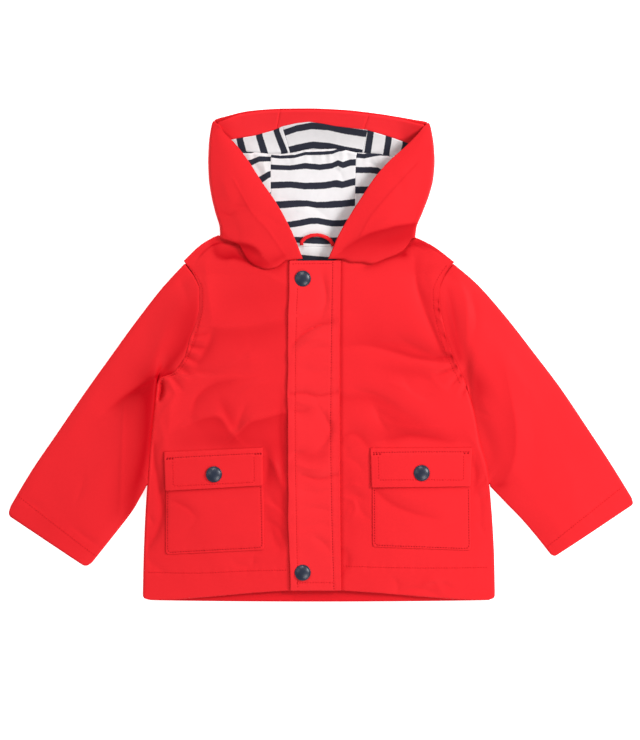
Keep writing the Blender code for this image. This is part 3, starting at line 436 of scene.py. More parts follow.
BODY_CREASES = [
    # wearer's right front: under the yoke, round the armhole, the zigzag above the pocket
    Crease(((213, 327), (235, 327.5), (260, 324), (288, 318)), 1.5, 16, 6, 1.0, 0.7, 0.8),
    Crease(((205, 262), (208, 292), (213, 326)), 0.8, 6, 5, 2.0),
    Crease(((250, 270), (268, 276), (288, 286)), 0.7, 7, 9, 2.0, 0.4, 0.7),
    Crease(((213, 328), (208, 345), (198, 362)), -0.8, 4, 3, 1.5, 0.6, 0.5),
    Crease(((236, 380), (212, 386), (197, 398), (192, 414)), -1.0, 7, 2.5, 1.0),
    Crease(
        ((193, 421), (205, 417), (217, 415), (224, 420), (229, 429), (234, 434)),
        0.75, 2.6, 8, 0.8, 0.3, 0.8,
    ),
    Crease(((234, 434), (241, 429), (250, 420), (262, 417), (284, 411)), 0.85, 3.0, 9, 0.8, 0.6, 0.4),
    Crease(((221, 400), (227, 412), (233, 423)), -0.6, 5, 5, 1.5, 0.3, 0.8),
    Crease(((246, 404), (241, 416), (237, 428)), -0.8, 3, 3, 0.8, 0.3, 0.8),
    Crease(((240, 360), (249, 350), (253, 340)), -0.5, 5, 6, 2.0),
    Crease(((222, 372), (244, 360), (262, 356)), 0.6, 6, 8, 2.0),
    Crease(((262, 446), (268, 458), (266, 482)), -1.0, 3.5, 4, 1.5),
    Crease(((272, 450), (276, 470), (284, 492)), 0.9, 4, 5, 1.2),
    Crease(((268, 494), (274, 504), (286, 516)), -0.8, 3, 4, 1.2),
    Crease(((270, 524), (276, 544), (285, 550)), -0.8, 4, 5, 1.5),
    Crease(((281, 396), (279, 430), (282, 470), (281, 540)), -0.9, 3, 5, 2.0, 0.5, 0.5),
    Crease(
        ((153, 446), (154, 462), (158, 482), (162, 512), (156, 534), (148, 547)),
        -1.3, 3, 4, 1.2, 0.6, 0.7,
    ),
    Crease(((149, 516), (153, 524)), -0.5, 2, 2, 1.0),
    Crease(((160, 420), (164, 440), (162, 452)), 0.5, 3, 4, 1.5),
    Crease(((176, 392), (170, 410), (168, 436)), 0.6, 4, 5, 1.5),
    Crease(((236, 556), (252, 552), (264, 551)), -0.5, 3, 4, 1.0),
    Crease(((252, 566), (254, 556)), -0.4, 1.5, 1.5, 0.6),
    # its turned-up fold under the arm, round a hollow
    Crease(((153.5, 414), (155, 398), (156.5, 386), (161, 379), (166, 377.5)), 0.9, 1.2, 1.2, 0.5, 0.3, 1.0),
    Crease(((157, 404), (162, 399), (167, 395)), 0.7, 1.4, 1.8, 0.5, 0.4, 0.8),
    Crease(((161, 383), (161.5, 390), (159, 399)), -2.6, 1.3, 1.3, 1.6, 0.9, 0.7),
    # wearer's left front: down beside the armhole, the drag line under the chest, over the pocket
    Crease(((416, 258), (417, 284), (424, 308), (442, 352)), -1.2, 6, 3, 1.2, 0.5, 0.7),
    Crease(((421, 300), (432, 322), (446, 352)), 0.7, 4, 3, 0.8, 0.3, 0.8),
    Crease(((429, 262), (424, 276), (430, 292)), -0.5, 4, 4, 2.0),
    Crease(((342, 348), (367, 346), (392, 352), (417, 359), (450, 362.5)), -0.9, 8, 4, 1.2, 0.2, 0.9),
    Crease(((412, 357), (430, 361), (451, 364)), -0.4, 2.5, 1.5, 0.6, 0.2, 0.6),
    Crease(((380, 342), (404, 346), (430, 356)), -0.8, 8, 6, 2.0),
    Crease(((342, 276), (356, 271), (372, 264)), -0.5, 4, 3, 1.0, 0.7, 0.4),
    Crease(((340, 399), (362, 397), (384, 404), (402, 413), (420, 425)), -0.8, 5, 7, 1.5, 0.7, 0.3),
    Crease(((372, 403), (382, 414), (398, 421)), -0.8, 6, 4, 1.5),
    Crease(((384, 380), (404, 388), (424, 402)), 0.6, 6, 8, 2.0),
    Crease(((388, 441), (404, 436), (424, 437), (447, 442)), -0.8, 6, 4, 1.5, 0.6, 0.4),
    Crease(((428, 372), (438, 384), (446, 391)), 0.5, 3, 4, 1.0),
    Crease(((341, 441), (348, 434), (358, 435), (368, 446)), -0.6, 4, 3, 1.0, 0.6, 0.8),
    Crease(((342, 452), (350, 448)), -0.5, 2, 2, 0.8),
    Crease(((341, 484), (352, 480)), -0.4, 2, 3, 0.8),
    Crease(((346, 500), (356, 495), (364, 500)), -0.7, 3, 3, 1.0),
    Crease(((356, 497), (360, 510), (370, 520)), -0.6, 3, 3, 1.0),
    Crease(((350, 505), (347, 520)), 0.4, 2, 3, 0.8),
    Crease(((344, 548), (348, 560), (344, 574)), -0.8, 2, 2, 1.0),
    Crease(((473, 462), (476, 476), (474, 490)), -0.9, 3, 2.5, 1.0),
    Crease(((486, 478), (477, 488)), -0.6, 2, 2, 0.8, 0.9, 0.4),
    Crease(((488, 496), (478, 500)), -0.5, 2, 2, 0.8, 0.9, 0.4),
    Crease(((478, 520), (484, 534)), -0.5, 3, 3, 1.0),
    Crease(((466, 430), (480, 452), (484, 470)), 0.5, 4, 4, 1.5),
    Crease(((422, 586), (434, 580), (442, 592)), 0.5, 3, 3, 1.0),
    Crease(((396, 592), (420, 589), (440, 596)), -0.5, 3, 2, 0.8),
    Crease(((417, 364), (432, 367), (446, 368)), 0.5, 2.5, 3, 0.8, 0.3, 0.9),
    Crease(((418, 381), (436, 378), (451, 371)), -0.7, 2.5, 3, 0.8, 0.3, 0.8),
    Crease(((404, 379), (414, 392), (432, 400)), -0.7, 5, 4, 1.5, 0.5, 0.4),
    Crease(((376, 411), (380, 420), (387, 431)), -0.7, 2, 4, 0.8, 0.6, 0.4),
    Crease(((352, 389), (372, 394), (394, 405)), -0.6, 3, 4, 1.0, 0.5, 0.5),
    Crease(((396, 425), (414, 429), (436, 427)), 0.6, 3, 5, 1.0, 0.5, 0.4),
    Crease(((400, 350), (420, 356), (446, 361)), 0.5, 4, 2.5, 1.0, 0.3, 0.8),
    Crease(((397, 336), (412, 346), (436, 357)), -0.6, 4, 4, 1.5, 0.3, 0.7),
    Crease(((343, 497), (352, 500), (356, 508), (351, 520)), 0.7, 2.5, 3, 0.8, 0.6, 0.4),
    Crease(((343, 486), (352, 484), (362, 487)), 0.5, 2, 3, 0.8),
    Crease(((342, 455), (356, 462), (364, 472)), -0.5, 3, 3, 1.0),
    Crease(((476, 488), (480, 502), (481, 522)), -0.6, 2.5, 3, 1.0),
    Crease(((430, 586), (440, 584), (452, 588)), -0.5, 2, 3, 0.8),
    Crease(((392, 576), (398, 586), (396, 596)), -0.4, 2, 2.5, 0.8),
    Crease(((247, 346), (250, 358), (252, 372)), 0.3, 5, 5, 2.5),
    Crease(((192, 369), (202, 373), (216, 372)), -0.6, 2.5, 3, 0.8, 0.8, 0.3),
    Crease(((240, 394), (252, 386), (268, 382)), 0.5, 3, 4, 1.0),
    Crease(((268, 456), (276, 468), (282, 486)), 0.8, 2.5, 3, 0.8, 0.5, 0.5),
    Crease(((266, 505), (275, 508), (285, 517)), 0.7, 2.5, 3, 0.8, 0.6, 0.5),
    Crease(((266, 520), (276, 526), (285, 540)), -0.6, 2.5, 3, 0.8, 0.6, 0.5),
    Crease(((146, 556), (154, 566), (168, 574)), -0.5, 4, 4, 1.5),
    Crease(((176, 424), (186, 418), (196, 420)), -0.5, 3, 3, 1.0),
    Crease(((158, 420), (166, 408), (176, 396)), 0.5, 2.5, 3, 1.0),
    Crease(((230, 560), (244, 566), (262, 562)), -0.4, 3, 4, 1.0),
]
# The gathers at the armholes. Painted shade darkens the cloth in their troughs.
GATHERS = [
    Crease(((196, 331), (208, 326)), 0.5, 1.8, 2.2, 0.6, 0.9, 0.2),
    Crease(((194, 336), (210, 333)), -0.5, 1.2, 1.4, 0.6, 0.9, 0.2),
    Crease(((192, 341), (207, 340)), 0.6, 1.6, 1.8, 0.6, 1.0, 0.2),
    Crease(((190, 346), (206, 348)), -0.7, 1.2, 1.4, 0.6, 1.0, 0.2),
    Crease(((188, 351), (201, 355)), 0.7, 1.4, 1.6, 0.6, 1.0, 0.2),
    Crease(((185, 356), (200, 363)), -0.7, 1.2, 1.3, 0.6, 1.0, 0.2),
    Crease(((182, 361), (196, 369)), 0.7, 1.4, 1.5, 0.6, 1.0, 0.2),
    Crease(((179, 366), (194, 377)), -0.7, 1.1, 1.3, 0.6, 1.0, 0.2),
    Crease(((175, 371), (188, 382)), 0.7, 1.3, 1.4, 0.6, 1.0, 0.2),
    Crease(((171, 375), (184, 391)), -0.7, 1.1, 1.2, 0.6, 1.0, 0.2),
    Crease(((168, 380), (177, 396)), 0.6, 1.3, 1.5, 0.6, 1.0, 0.2),
    Crease(((434, 300), (441, 303)), -0.5, 1.2, 1.2, 0.5, 0.5, 1.0),
    Crease(((434, 309), (444, 311)), -0.8, 1.0, 1.4, 0.5, 0.4, 1.0),
    Crease(((437, 318), (443, 322)), 0.5, 1.4, 1.4, 0.5, 0.4, 1.0),
    Crease(((438, 332), (446, 338)), -0.4, 1.2, 1.2, 0.5, 0.4, 1.0),
    Crease(((450, 352), (438, 350)), 0.5, 1.4, 1.6, 0.6, 1.0, 0.2),
    Crease(((452, 357), (434, 358)), -0.6, 1.2, 1.4, 0.6, 1.0, 0.2),
    Crease(((454, 362), (438, 367)), 0.6, 1.4, 1.5, 0.6, 1.0, 0.2),
    Crease(((456, 367), (436, 376)), -0.7, 1.2, 1.3, 0.6, 1.0, 0.2),
    Crease(((459, 371), (444, 382)), 0.7, 1.3, 1.4, 0.6, 1.0, 0.2),
    Crease(((462, 375), (449, 388)), -0.8, 1.0, 1.2, 0.5, 1.0, 0.2),
    Crease(((465, 380), (455, 393)), 0.7, 1.2, 1.3, 0.5, 1.0, 0.2),
    Crease(((468, 385), (461, 397)), -0.8, 1.0, 1.1, 0.5, 1.0, 0.2),
]
FLAP_CREASES = [
    Crease(((291, 347), (303, 334), (318, 326), (331, 323)), -1.3, 3, 3, 0.6, 0.5, 0.6),
    Crease(((296, 350), (310, 341), (331, 336)), 0.8, 3, 4, 1.0),
    Crease(((304, 353), (318, 348), (332, 349)), -0.6, 3, 2.5, 0.8),
    Crease(((290, 394), (303, 393), (318, 396), (337, 392)), -0.9, 3, 2.0, 0.6, 0.8, 0.7),
    Crease(((296, 401), (306, 404), (318, 402)), 0.5, 2.5, 3, 0.8),
    Crease(((291, 410), (300, 413), (310, 409)), -0.5, 2.5, 3, 0.8),
    Crease(((324, 414), (330, 428), (327, 440), (318, 450)), -1.0, 2.5, 6, 1.0, 0.6, 0.5),
    Crease(((290, 460), (296, 454), (304, 452)), -0.7, 2, 2.5, 0.7),
    Crease(((293, 461), (304, 467), (318, 468), (331, 465)), 0.8, 2.5, 5, 0.8),
    Crease(((302, 475), (318, 479), (337, 475)), -0.8, 2.5, 2, 0.6, 0.5, 0.7),
    Crease(((298, 489), (316, 493), (336, 489)), -0.6, 4, 3, 1.0),
    Crease(((312, 536), (322, 542), (331, 551)), -0.6, 2.5, 4, 1.0),
    Crease(((294, 512), (312, 508), (332, 511)), -0.6, 3, 3, 0.8),
    Crease(((300, 530), (318, 524), (332, 526)), -0.4, 4, 3, 1.0),
    Crease(((322, 274), (326, 298), (321, 316)), -0.9, 2.5, 4, 1.0),
    Crease(((296, 366), (312, 372), (330, 370)), -0.4, 5, 4, 1.5),
]
SLEEVE_CREASES = {
    "right": [
        Crease(((172, 372), (156, 378.5), (140, 387), (125, 397), (107, 411)), -1.8, 10, 3, 0.8, 1.0, 0.2),
        Crease(((190, 326), (182, 350), (164, 370)), -0.8, 4, 9, 2.0, 0.6, 0.9),
        Crease(((124, 402), (122, 450), (120, 514)), 0.4, 2, 2, 0.6, 0.3, 0.6),
        Crease(((84, 474), (80, 492), (74, 506)), -0.4, 3, 3, 0.8),
        Crease(((72, 526), (84, 536), (102, 548)), -0.5, 2, 2, 0.8),
        Crease(((20, 498), (34, 504), (44, 510)), -0.4, 2, 3, 0.8),
        Crease(((44, 520), (58, 516)), 0.3, 3, 3, 1.0),
        Crease(((176, 262), (182, 284), (190, 306)), -0.6, 5, 4, 2.0),
        Crease(((100, 380), (76, 420), (60, 450)), 0.5, 10, 12, 3.0),
    ],
    "left": [
        Crease(((447, 288), (452, 312), (458, 346)), -1.2, 3, 4, 1.2, 0.5, 0.7),
        Crease(((456, 274), (464, 292), (467, 312), (467, 350)), 0.8, 4, 6, 1.0, 0.4, 0.3),
        Crease(((471, 292), (476, 316), (474, 340)), -0.6, 4, 3, 1.5),
        Crease(((474, 376), (480, 390), (478, 402)), -0.6, 6, 5, 2.0, 0.8, 0.4),
        Crease(((476, 410), (492, 417)), -0.5, 2, 2.5, 0.6),
        Crease(((480, 418), (488, 440), (494, 466)), -0.9, 10, 8, 3.0),
        Crease(((504, 362), (511, 398), (516, 430), (514, 460), (504, 484)), 0.8, 6, 9, 1.2, 0.3, 0.5),
        Crease(((530, 400), (534, 440), (531, 478)), -0.4, 8, 8, 2.0),
        Crease(((490, 484), (502, 482), (512, 478)), -0.4, 3, 3, 1.0, 0.8, 0.3),
        Crease(((505, 350), (520, 380), (540, 408)), 0.5, 8, 8, 2.0),
        Crease(((527, 391), (530, 393.5)), -0.3, 1.2, 1.2, 0.5, 0.9, 0.9),
        Crease(((536, 500), (556, 504), (580, 498)), -0.5, 6, 7, 2.0),
        Crease(((560, 460), (572, 478), (574, 500)), 0.4, 8, 8, 3.0),
    ],
}
HOOD_CREASES = {
    "right": [
        Crease(((234, 181), (252, 213), (268, 231), (285, 256)), 0.35, 0.9, 1.3, 0.4, 0.8, 0.9),
        Crease(
            ((219, 232), (229, 237.5), (237, 241.4), (248, 243.2), (256, 247.2), (261, 252.5)),
            1.1, 6, 3.0, 0.6, 0.9, 0.5,
        ),
        Crease(((230, 246), (246, 249), (258, 256)), -1.0, 3, 4, 1.0, 0.7, 0.5),
        Crease(((221, 211), (229, 215), (236, 213)), -0.8, 2, 2.5, 0.7, 0.8, 0.4),
        Crease(((231, 204.5), (250, 207)), -0.5, 3, 2, 0.6),
        Crease(((223, 224), (225, 233)), -0.7, 2, 2, 0.6),
        Crease(((222, 178), (232, 204)), 0.5, 7, 5, 2.0),
        Crease(((233, 172), (240, 190), (238, 206)), -0.5, 4, 5, 2.0),
        Crease(((262, 214), (274, 222), (286, 228)), -0.4, 2, 3, 0.8),
    ],
    "left": [
        Crease(((417, 164), (393, 190), (371, 216), (360, 236)), 0.3, 1.3, 0.9, 0.4, 0.6, 0.9),
        Crease(((418, 222.5), (400, 225), (386, 228.5), (366, 234.5), (342, 249)), 1.1, 9, 3, 0.5, 0.9, 0.4),
        Crease(((410, 232), (388, 239), (366, 246)), -0.7, 5, 6, 2.0, 0.7, 0.4),
        Crease(((352, 246), (362, 240), (372, 238)), -0.6, 2, 3, 0.8),
        Crease(((418, 160), (412, 168), (404, 172)), -0.6, 3, 3, 1.0),
        Crease(((390, 174), (400, 183), (402, 196)), -0.5, 4, 5, 1.5),
        Crease(((400, 212), (386, 220), (372, 226)), 0.5, 5, 5, 1.5),
    ],
}
POCKET_CREASES = {
    "right": [
        Crease(((169, 500), (186, 507), (197, 517)), -0.6, 3, 2, 0.8),
        Crease(((197, 517), (191, 526), (183, 531)), -0.5, 3, 3, 0.8),
        Crease(((200, 494), (230, 498), (256, 494)), -0.4, 6, 6, 2.0),
        Crease(((206, 540), (226, 534), (250, 538)), 0.3, 6, 6, 2.0),
    ],
    "left": [
        Crease(((376, 491), (390, 503), (410, 512), (436, 519)), -0.8, 5, 3.5, 1.0, 0.7, 0.4),
        Crease(((400, 496), (426, 502), (456, 498)), 0.4, 7, 7, 2.0),
        Crease(((416, 524), (436, 526), (460, 522)), -0.4, 4, 5, 1.5),
    ],
}

# Painted shade: the cloth's colour is darkened to stand for shade in its deep folds, beside and below what
# lies over it, and along some seams and edges. A row's height is how much painted shade it puts on.
FRONT_PAINTED_SHADE = [
    Crease(
        ((214, 250), (218, 256), (226, 258.4), (234, 257.4), (245, 261), (254, 265)),
        0.95, 9, 1.1, 1.5, 0.7, 0.8,
    ),
    Crease(((262, 268.5), (272, 267.5), (286, 262)), 0.45, 1.2, 2, 1.0, 0.8, 0.8),
    Crease(((275, 271), (286, 264)), 0.25, 2, 2, 1.0),
    Crease(((366, 267), (374, 265), (392, 257.4), (405, 254.4)), 0.7, 1.2, 2.2, 1.0, 0.5, 0.9),
    Crease(((404, 253), (409, 246), (418, 243.5), (430, 247)), 0.8, 3, 3, 1.5, 0.8, 0.4),
    Crease(((228, 298), (280, 294)), 0.20, 14, 14, 10.0, 0.8, 0.8),
    Crease(((220, 335), (250, 333), (286, 326)), 0.24, 5, 12, 3.0, 0.8, 0.8),
    Crease(((214, 338), (206, 354), (197, 366)), 0.28, 4, 4, 1.0),
    Crease(((238, 380), (212, 386), (197, 398), (192, 412)), 0.36, 9, 1.5, 0.8, 0.3, 0.5),
    Crease(((221, 400), (226, 412), (231, 423)), 0.36, 5, 2, 1.0, 0.3, 0.9),
    Crease(
        ((193, 424), (206, 419), (217, 418), (223, 423), (228, 432), (234, 438)),
        0.4, 0.7, 15, 1.0, 0.3, 0.4,
    ),
    Crease(((234, 438), (242, 432), (251, 423.5), (263, 420), (284, 414)), 0.4, 0.7, 13, 1.0, 0.4, 0.7),
    Crease(((186, 442), (214, 440), (250, 442), (280, 448)), 0.26, 9, 6, 4.0, 0.5, 0.5),
    Crease(((200, 255.5), (208, 248), (216, 243.7), (224, 242.6), (236, 244)), 0.6, 0.6, 0.6, 0.5, 0.8, 0.9),
    Crease(((285, 396), (284, 440), (284, 490), (285, 540)), 0.5, 2, 9, 1.5, 0.4, 0.5),
    Crease(((267, 452), (270, 468), (268, 490)), 0.42, 5, 6, 2.0),
    Crease(((266, 500), (272, 526), (282, 546)), 0.22, 5, 5, 2.0),
    Crease(
        ((153, 446), (154, 462), (158, 482), (162, 512), (156, 534), (148, 546)),
        0.32, 3, 4, 1.5, 0.6, 0.6,
    ),
    Crease(((161, 383), (161.5, 390), (159.5, 399)), 1.0, 1.0, 1.0, 1.8, 0.9, 0.7),
    Crease(((183, 267), (192, 279), (199.5, 297)), 0.5, 0.6, 0.6, 0.4, 0.9, 0.4),
    Crease(((199.5, 297), (198, 330), (190, 352), (172, 373.5)), 0.3, 0.5, 0.5, 0.3, 0.2, 0.5),
    Crease(((452, 263), (444, 277), (439.6, 291), (440.5, 306), (443.5, 322)), 0.5, 0.5, 0.5, 0.3, 0.9, 0.5),
    Crease(((444, 322), (447.6, 340), (454, 357), (462, 373), (468, 388)), 0.45, 0.5, 0.5, 0.3, 0.5, 0.9),
    Crease(((415, 262), (418, 284), (427, 308), (442, 350)), 0.36, 9, 2.5, 1.0, 0.8, 0.6),
    Crease(((346, 345), (367, 344), (392, 350), (417, 357), (448, 361)), 0.42, 12, 1.5, 1.0, 0.2, 0.9),
    Crease(((380, 366), (412, 372), (440, 380)), 0.26, 5, 7, 3.0, 0.4, 0.6),
    Crease(((341, 399), (364, 398), (384, 404), (404, 416)), 0.26, 5, 5, 2.0, 0.7, 0.3),
    Crease(((376, 406), (392, 420), (420, 424)), 0.2, 8, 5, 2.0),
    Crease(((388, 439), (408, 435), (428, 437), (452, 441)), 0.5, 10, 3, 1.5, 0.7, 0.5),
    Crease(((474, 430), (476, 500), (475, 560)), 0.16, 7, 7, 4.0),
    Crease(((341.6, 262), (341.9, 590)), 0.4, 0.9, 0.9, 0.6, 0.9, 0.9),
    Crease(((346, 452), (352, 500), (350, 556)), 0.16, 6, 6, 4.0),
    Crease(((342, 440), (350, 433), (359, 436), (368, 446)), 0.26, 3, 2, 0.8, 0.6, 0.8),
    Crease(((343, 550), (347, 561), (343, 575)), 0.4, 1.5, 2, 1.0, 0.7, 0.7),
    Crease(((475, 460), (476, 476), (474, 492)), 0.28, 3, 2, 1.0, 0.5, 0.5),
    Crease(((165, 550), (166, 500), (165, 452)), 0.2, 2.5, 1, 1.0, 0.6, 0.9),
]
SLEEVE_PAINTED_SHADE = {
    "right": [
        Crease(
            ((151, 382), (149, 410), (147, 440), (142, 466), (135, 492), (130, 512)),
            1.0, 7, 8, 3.0, 0.8, 0.7,
        ),
        Crease(((172, 373), (156, 379), (140, 387.5), (125, 397), (107, 411)), 0.9, 10, 1.8, 1.0, 1.0, 0.1),
        Crease(((198, 296), (194, 322), (184, 346), (166, 370)), 0.62, 2, 10, 2.0, 0.2, 0.9),
        Crease(((196, 284), (190, 310), (176, 340)), 0.2, 3, 14, 4.0),
        Crease(((127, 410), (124, 450), (118, 500)), 0.12, 6, 8, 2.0, 0.8, 0.8),
        Crease(((110, 560), (40, 520)), 0.10, 16, 16, 8.0, 0.8, 0.8),
    ],
    "left": [
        Crease(((446, 286), (450, 312), (455, 340), (460, 358)), 0.66, 4, 4, 1.5, 0.2, 0.8),
        Crease(((475, 376), (479, 388), (478, 398)), 0.42, 5, 5, 3.0, 0.7, 0.4),
        Crease(((478, 400), (486, 430), (495, 466)), 0.16, 10, 6, 4.0, 0.9, 0.6),
        Crease(((504, 366), (511, 398), (515, 430), (513, 460), (503, 484)), 0.22, 1.8, 9, 1.0, 0.3, 0.7),
        Crease(((490, 486), (510, 484)), 0.34, 3, 3, 1.0),
        Crease(((470, 288), (475, 312), (474, 336)), 0.14, 4, 3, 1.5),
    ],
}
HOOD_PAINTED_SHADE = {
    "right": [
        Crease(((236, 243.6), (247, 245.2), (255, 248.6), (260, 253.5)), 0.75, 0.8, 13, 1.2, 0.5, 0.6),
        Crease(((238, 246), (241, 252), (246, 259), (254, 264.5), (264, 266.5)), 0.4, 5, 3, 1.0, 0.6, 0.5),
        Crease(((219, 233), (228, 238.5), (236, 242)), 0.2, 1.5, 2, 1.0, 0.9, 0.6),
        Crease(((221.5, 224), (223, 231), (226, 238)), 0.3, 0.8, 1.0, 0.6),
        Crease(((234, 181), (252, 213), (268, 231), (285, 256)), 0.22, 0.7, 0.9, 0.3, 0.8, 0.9),
        Crease(((221, 211), (229, 215), (236, 213)), 0.25, 1, 2, 0.6, 0.8, 0.4),
        Crease(((231, 205), (250, 207)), 0.15, 1, 3, 0.6),
        Crease(((272, 262), (286, 255)), 0.25, 2, 2, 1.0),
        Crease(((250, 262), (266, 264), (284, 257)), 0.3, 6, 4, 2.0, 0.7, 0.6),
    ],
    "left": [
        Crease(
            ((418, 223.6), (400, 226.3), (386, 229.8), (366, 236), (343, 250.5)),
            0.76, 9, 0.8, 0.6, 0.9, 0.5,
        ),
        Crease(((416, 233), (398, 239), (380, 243)), 0.22, 6, 8, 4.0, 0.9, 0.5),
        Crease(((362, 236), (350, 244), (343, 249)), 0.2, 1.0, 1.5, 0.8),
        Crease(((410, 238), (388, 242), (362, 246)), 0.2, 6, 6, 3.0, 0.8, 0.5),
        Crease(((417, 164), (393, 190), (371, 216), (360, 236)), 0.2, 0.9, 0.7, 0.3, 0.7, 0.9),
        Crease(((428, 150), (424, 190), (418, 216)), 0.12, 3, 4, 2.0, 0.8, 0.8),
    ],
}
FACING_PAINTED_SHADE = [
    Crease(((218, 122), (226, 132), (240, 138)), 0.4, 9, 6, 4.0, 0.9, 0.3),
    Crease(((424, 124), (414, 134), (400, 138)), 0.36, 6, 9, 4.0, 0.9, 0.3),
]
POCKET_PAINTED_SHADE = [
    Crease(((170, 499), (187, 507), (197, 517)), 0.22, 3, 1.5, 0.8),
    Crease(((376, 490), (390, 502), (410, 511), (436, 518)), 0.26, 4, 1.5, 0.8, 0.8, 0.4),
    Crease(((166, 492), (214, 489), (262, 486)), 0.35, 2, 1.5, 0.6, 0.8, 0.8),
    Crease(((372, 488), (420, 488), (471, 487)), 0.3, 2, 1.5, 0.6, 0.8, 0.8),
]
FLAP_PAINTED_SHADE = [
    Crease(((291, 347), (303, 334), (318, 326), (331, 323)), 0.34, 3.5, 1.2, 0.6, 0.5, 0.7),
    Crease(((290, 394), (303, 393), (318, 396), (337, 392)), 0.32, 1.2, 1.2, 0.6, 0.8, 0.7),
    Crease(((296, 450), (310, 456), (328, 454)), 0.26, 6, 5, 2.0),
    Crease(((302, 475), (318, 479), (337, 475)), 0.26, 1.2, 1.2, 0.6, 0.5, 0.7),
    Crease(((292, 409), (301, 412), (311, 408)), 0.2, 2, 2, 0.8),
    Crease(((326, 414), (332, 428), (328, 442)), 0.2, 2, 2.5, 1.0),
    Crease(((321, 420), (327, 440), (323, 464)), 0.12, 2, 4, 1.0),
    Crease(((325, 264), (327, 284), (324, 300)), 0.12, 2, 3, 1.0),
    Crease(((288.5, 262), (288.5, 590)), 0.12, 1.2, 1, 0.6, 0.9, 0.9),
    Crease(((339, 262), (339.6, 590)), 0.2, 3, 2, 2.0, 0.9, 0.9),
]


# A crease is left out this many of its widths away.
CREASE_REACH = 4


def crease_height(x, y, table):
    """How far a table of creases raises a point."""
    total = np.zeros(np.shape(x))
    for c in table:
        line = px_line(*c.line)
        mask, off, t, side, _ = near(x, y, line, CREASE_REACH * max(c.left, c.right) + c.blunt)
        width = np.where(side > 0, c.left, c.right)
        strength = c.start * (1 - t) * (1 - 2 * t) + 4 * t * (1 - t) + c.end * t * (2 * t - 1)
        total[mask] += c.height * strength * np.exp(-(np.hypot(off, c.blunt) - c.blunt) / width)
    return total


def shade(x, y, table):
    """How far painted shade darkens the cloth's colour, from 0 to 1."""
    return np.clip(crease_height(x, y, table), 0, 1)


# A line of sewing: a groove, with puckers that ripple along it and fade away from it.
Seam = namedtuple("Seam", "line groove width pucker reach wave", defaults=(0.3, 0.9, 0.18, 4.5, 8.0))


def ripple(along, wave, seed):
    """An uneven wave along a seam."""
    a = 2 * np.pi * along / wave
    return 0.5 * np.sin(a + seed) + 0.35 * np.sin(1.63 * a + 2.1 * seed) + 0.3 * np.sin(0.57 * a + 3.7 * seed)


def seam_height(x, y, seams):
    """How far rows of sewing raise a point, or pull it in."""
    total = np.zeros(np.shape(x))
    for s in seams:
        mask, off, t, _, length = near(x, y, s.line, 3 * s.reach)
        wave = ripple(t * length, s.wave, float(s.line[0].sum()))
        pucker = s.pucker * wave * np.exp(-((off / s.reach) ** 2))
        total[mask] += pucker - s.groove * np.exp(-((off / s.width) ** 2))
    return total


# A slow uneven swell of the cloth: how high it goes, and about how far apart its features are.
Swell = namedtuple("Swell", "height size seed")
BODY_SWELL, BODY_SMALL_SWELL = Swell(0.35, 26, 1.0), Swell(0.17, 9, 7.0)
SLEEVE_SWELL, SLEEVE_SMALL_SWELL = Swell(0.35, 24, 2.0), Swell(0.15, 9, 8.0)
HOOD_SWELL, NECK_SWELL, HEM_SWELL = Swell(0.3, 20, 4.0), Swell(0.35, 7, 3.0), Swell(0.3, 16, 2.0)
ROLLED_SWELL, LYING_SWELL = Swell(0.45, 12, 5.0), Swell(0.25, 10, 6.0)


def wander(x, y, swell):
    u, v, seed = x / swell.size, y / swell.size, swell.seed
    wave = (
        np.sin(u + 1.3 * seed) * np.sin(0.8 * v + 2.1 * seed)
        + 0.6 * np.sin(1.7 * u + 0.9 * v + seed)
        + 0.5 * np.sin(0.6 * u - 1.9 * v + 1.7 * seed)
    )
    return swell.height * wave / 2.1


# ---------------------------------------------------------------- forms

# The solids' large folds count this much here, where the creases draw them finer.
FOLD_SHARE = 0.35


def folds(x, y, table):
    """How far a table of large folds raises a point. A fold is deepest in its middle."""
    total = np.zeros(np.shape(x))
    for f in table:
        run = np.array((f.x1 - f.x0, f.y1 - f.y0), float)
        t = np.clip(((x - f.x0) * run[0] + (y - f.y0) * run[1]) / (run @ run), 0, 1)
        off2 = (x - f.x0 - t * run[0]) ** 2 + (y - f.y0 - t * run[1]) ** 2
        total += f.depth * (0.35 + 0.65 * np.sin(np.pi * (0.15 + 0.7 * t))) * np.exp(-off2 / f.width**2)
    return total


def side_x(side, y):
    """Where the body ends at the side, at the armhole or at the shoulder."""
    return np.where(
        y <= UNDERARM_Y,
        smooth(y, SIDE_SEAM, "y", side),
        np.where(y <= TIP_Y, smooth(y, ARMHOLE, "y", side), smooth(y, SHOULDER, "y", side)),
    )


def edge_height(y):
    """How high the armhole's edge stands."""
    along = np.clip((y - UNDERARM_Y) / (TIP_Y - UNDERARM_Y), 0, 1)
    return SEAM_EDGE + (ARMHOLE_HEIGHT - SEAM_EDGE) * across(along)


# The fronts' side edge: how high it lies, and how the cloth rolls over there and then rises slowly.
# The roll ends below the armhole.
SIDE_EDGE, SIDE_LIFT, SIDE_ROLL, SIDE_REACH, ROLL_SHARE = 4.4, 2.4, 2.4, 110.0, 0.2
ROLL_END_Y, ROLL_FADE = UNDERARM_Y + 8, 16
LIFT_FROM_Y, LIFT_TO_Y = -150.0, -112.0
# The cloth's way round its side edge, from underneath: how far in and how far down each column is.
SIDE_WRAP = ((0.9, -3.3), (0.25, -2.5), (0.0, -1.5), (0.12, -0.7))
SIDE_INSET = 0.5
# At the armhole it goes down this much of the way.
ARMHOLE_WRAP = 0.4


def side_height(y):
    """The height of the fronts' side edge, which stands higher beside the sleeves."""
    return SIDE_EDGE + SIDE_LIFT * ease((y - LIFT_FROM_Y) / (LIFT_TO_Y - LIFT_FROM_Y))


def inside_edge(x, y):
    """How far a point lies inside the body's edge."""
    return np.minimum(x - side_x("right", y), side_x("left", y) - x)


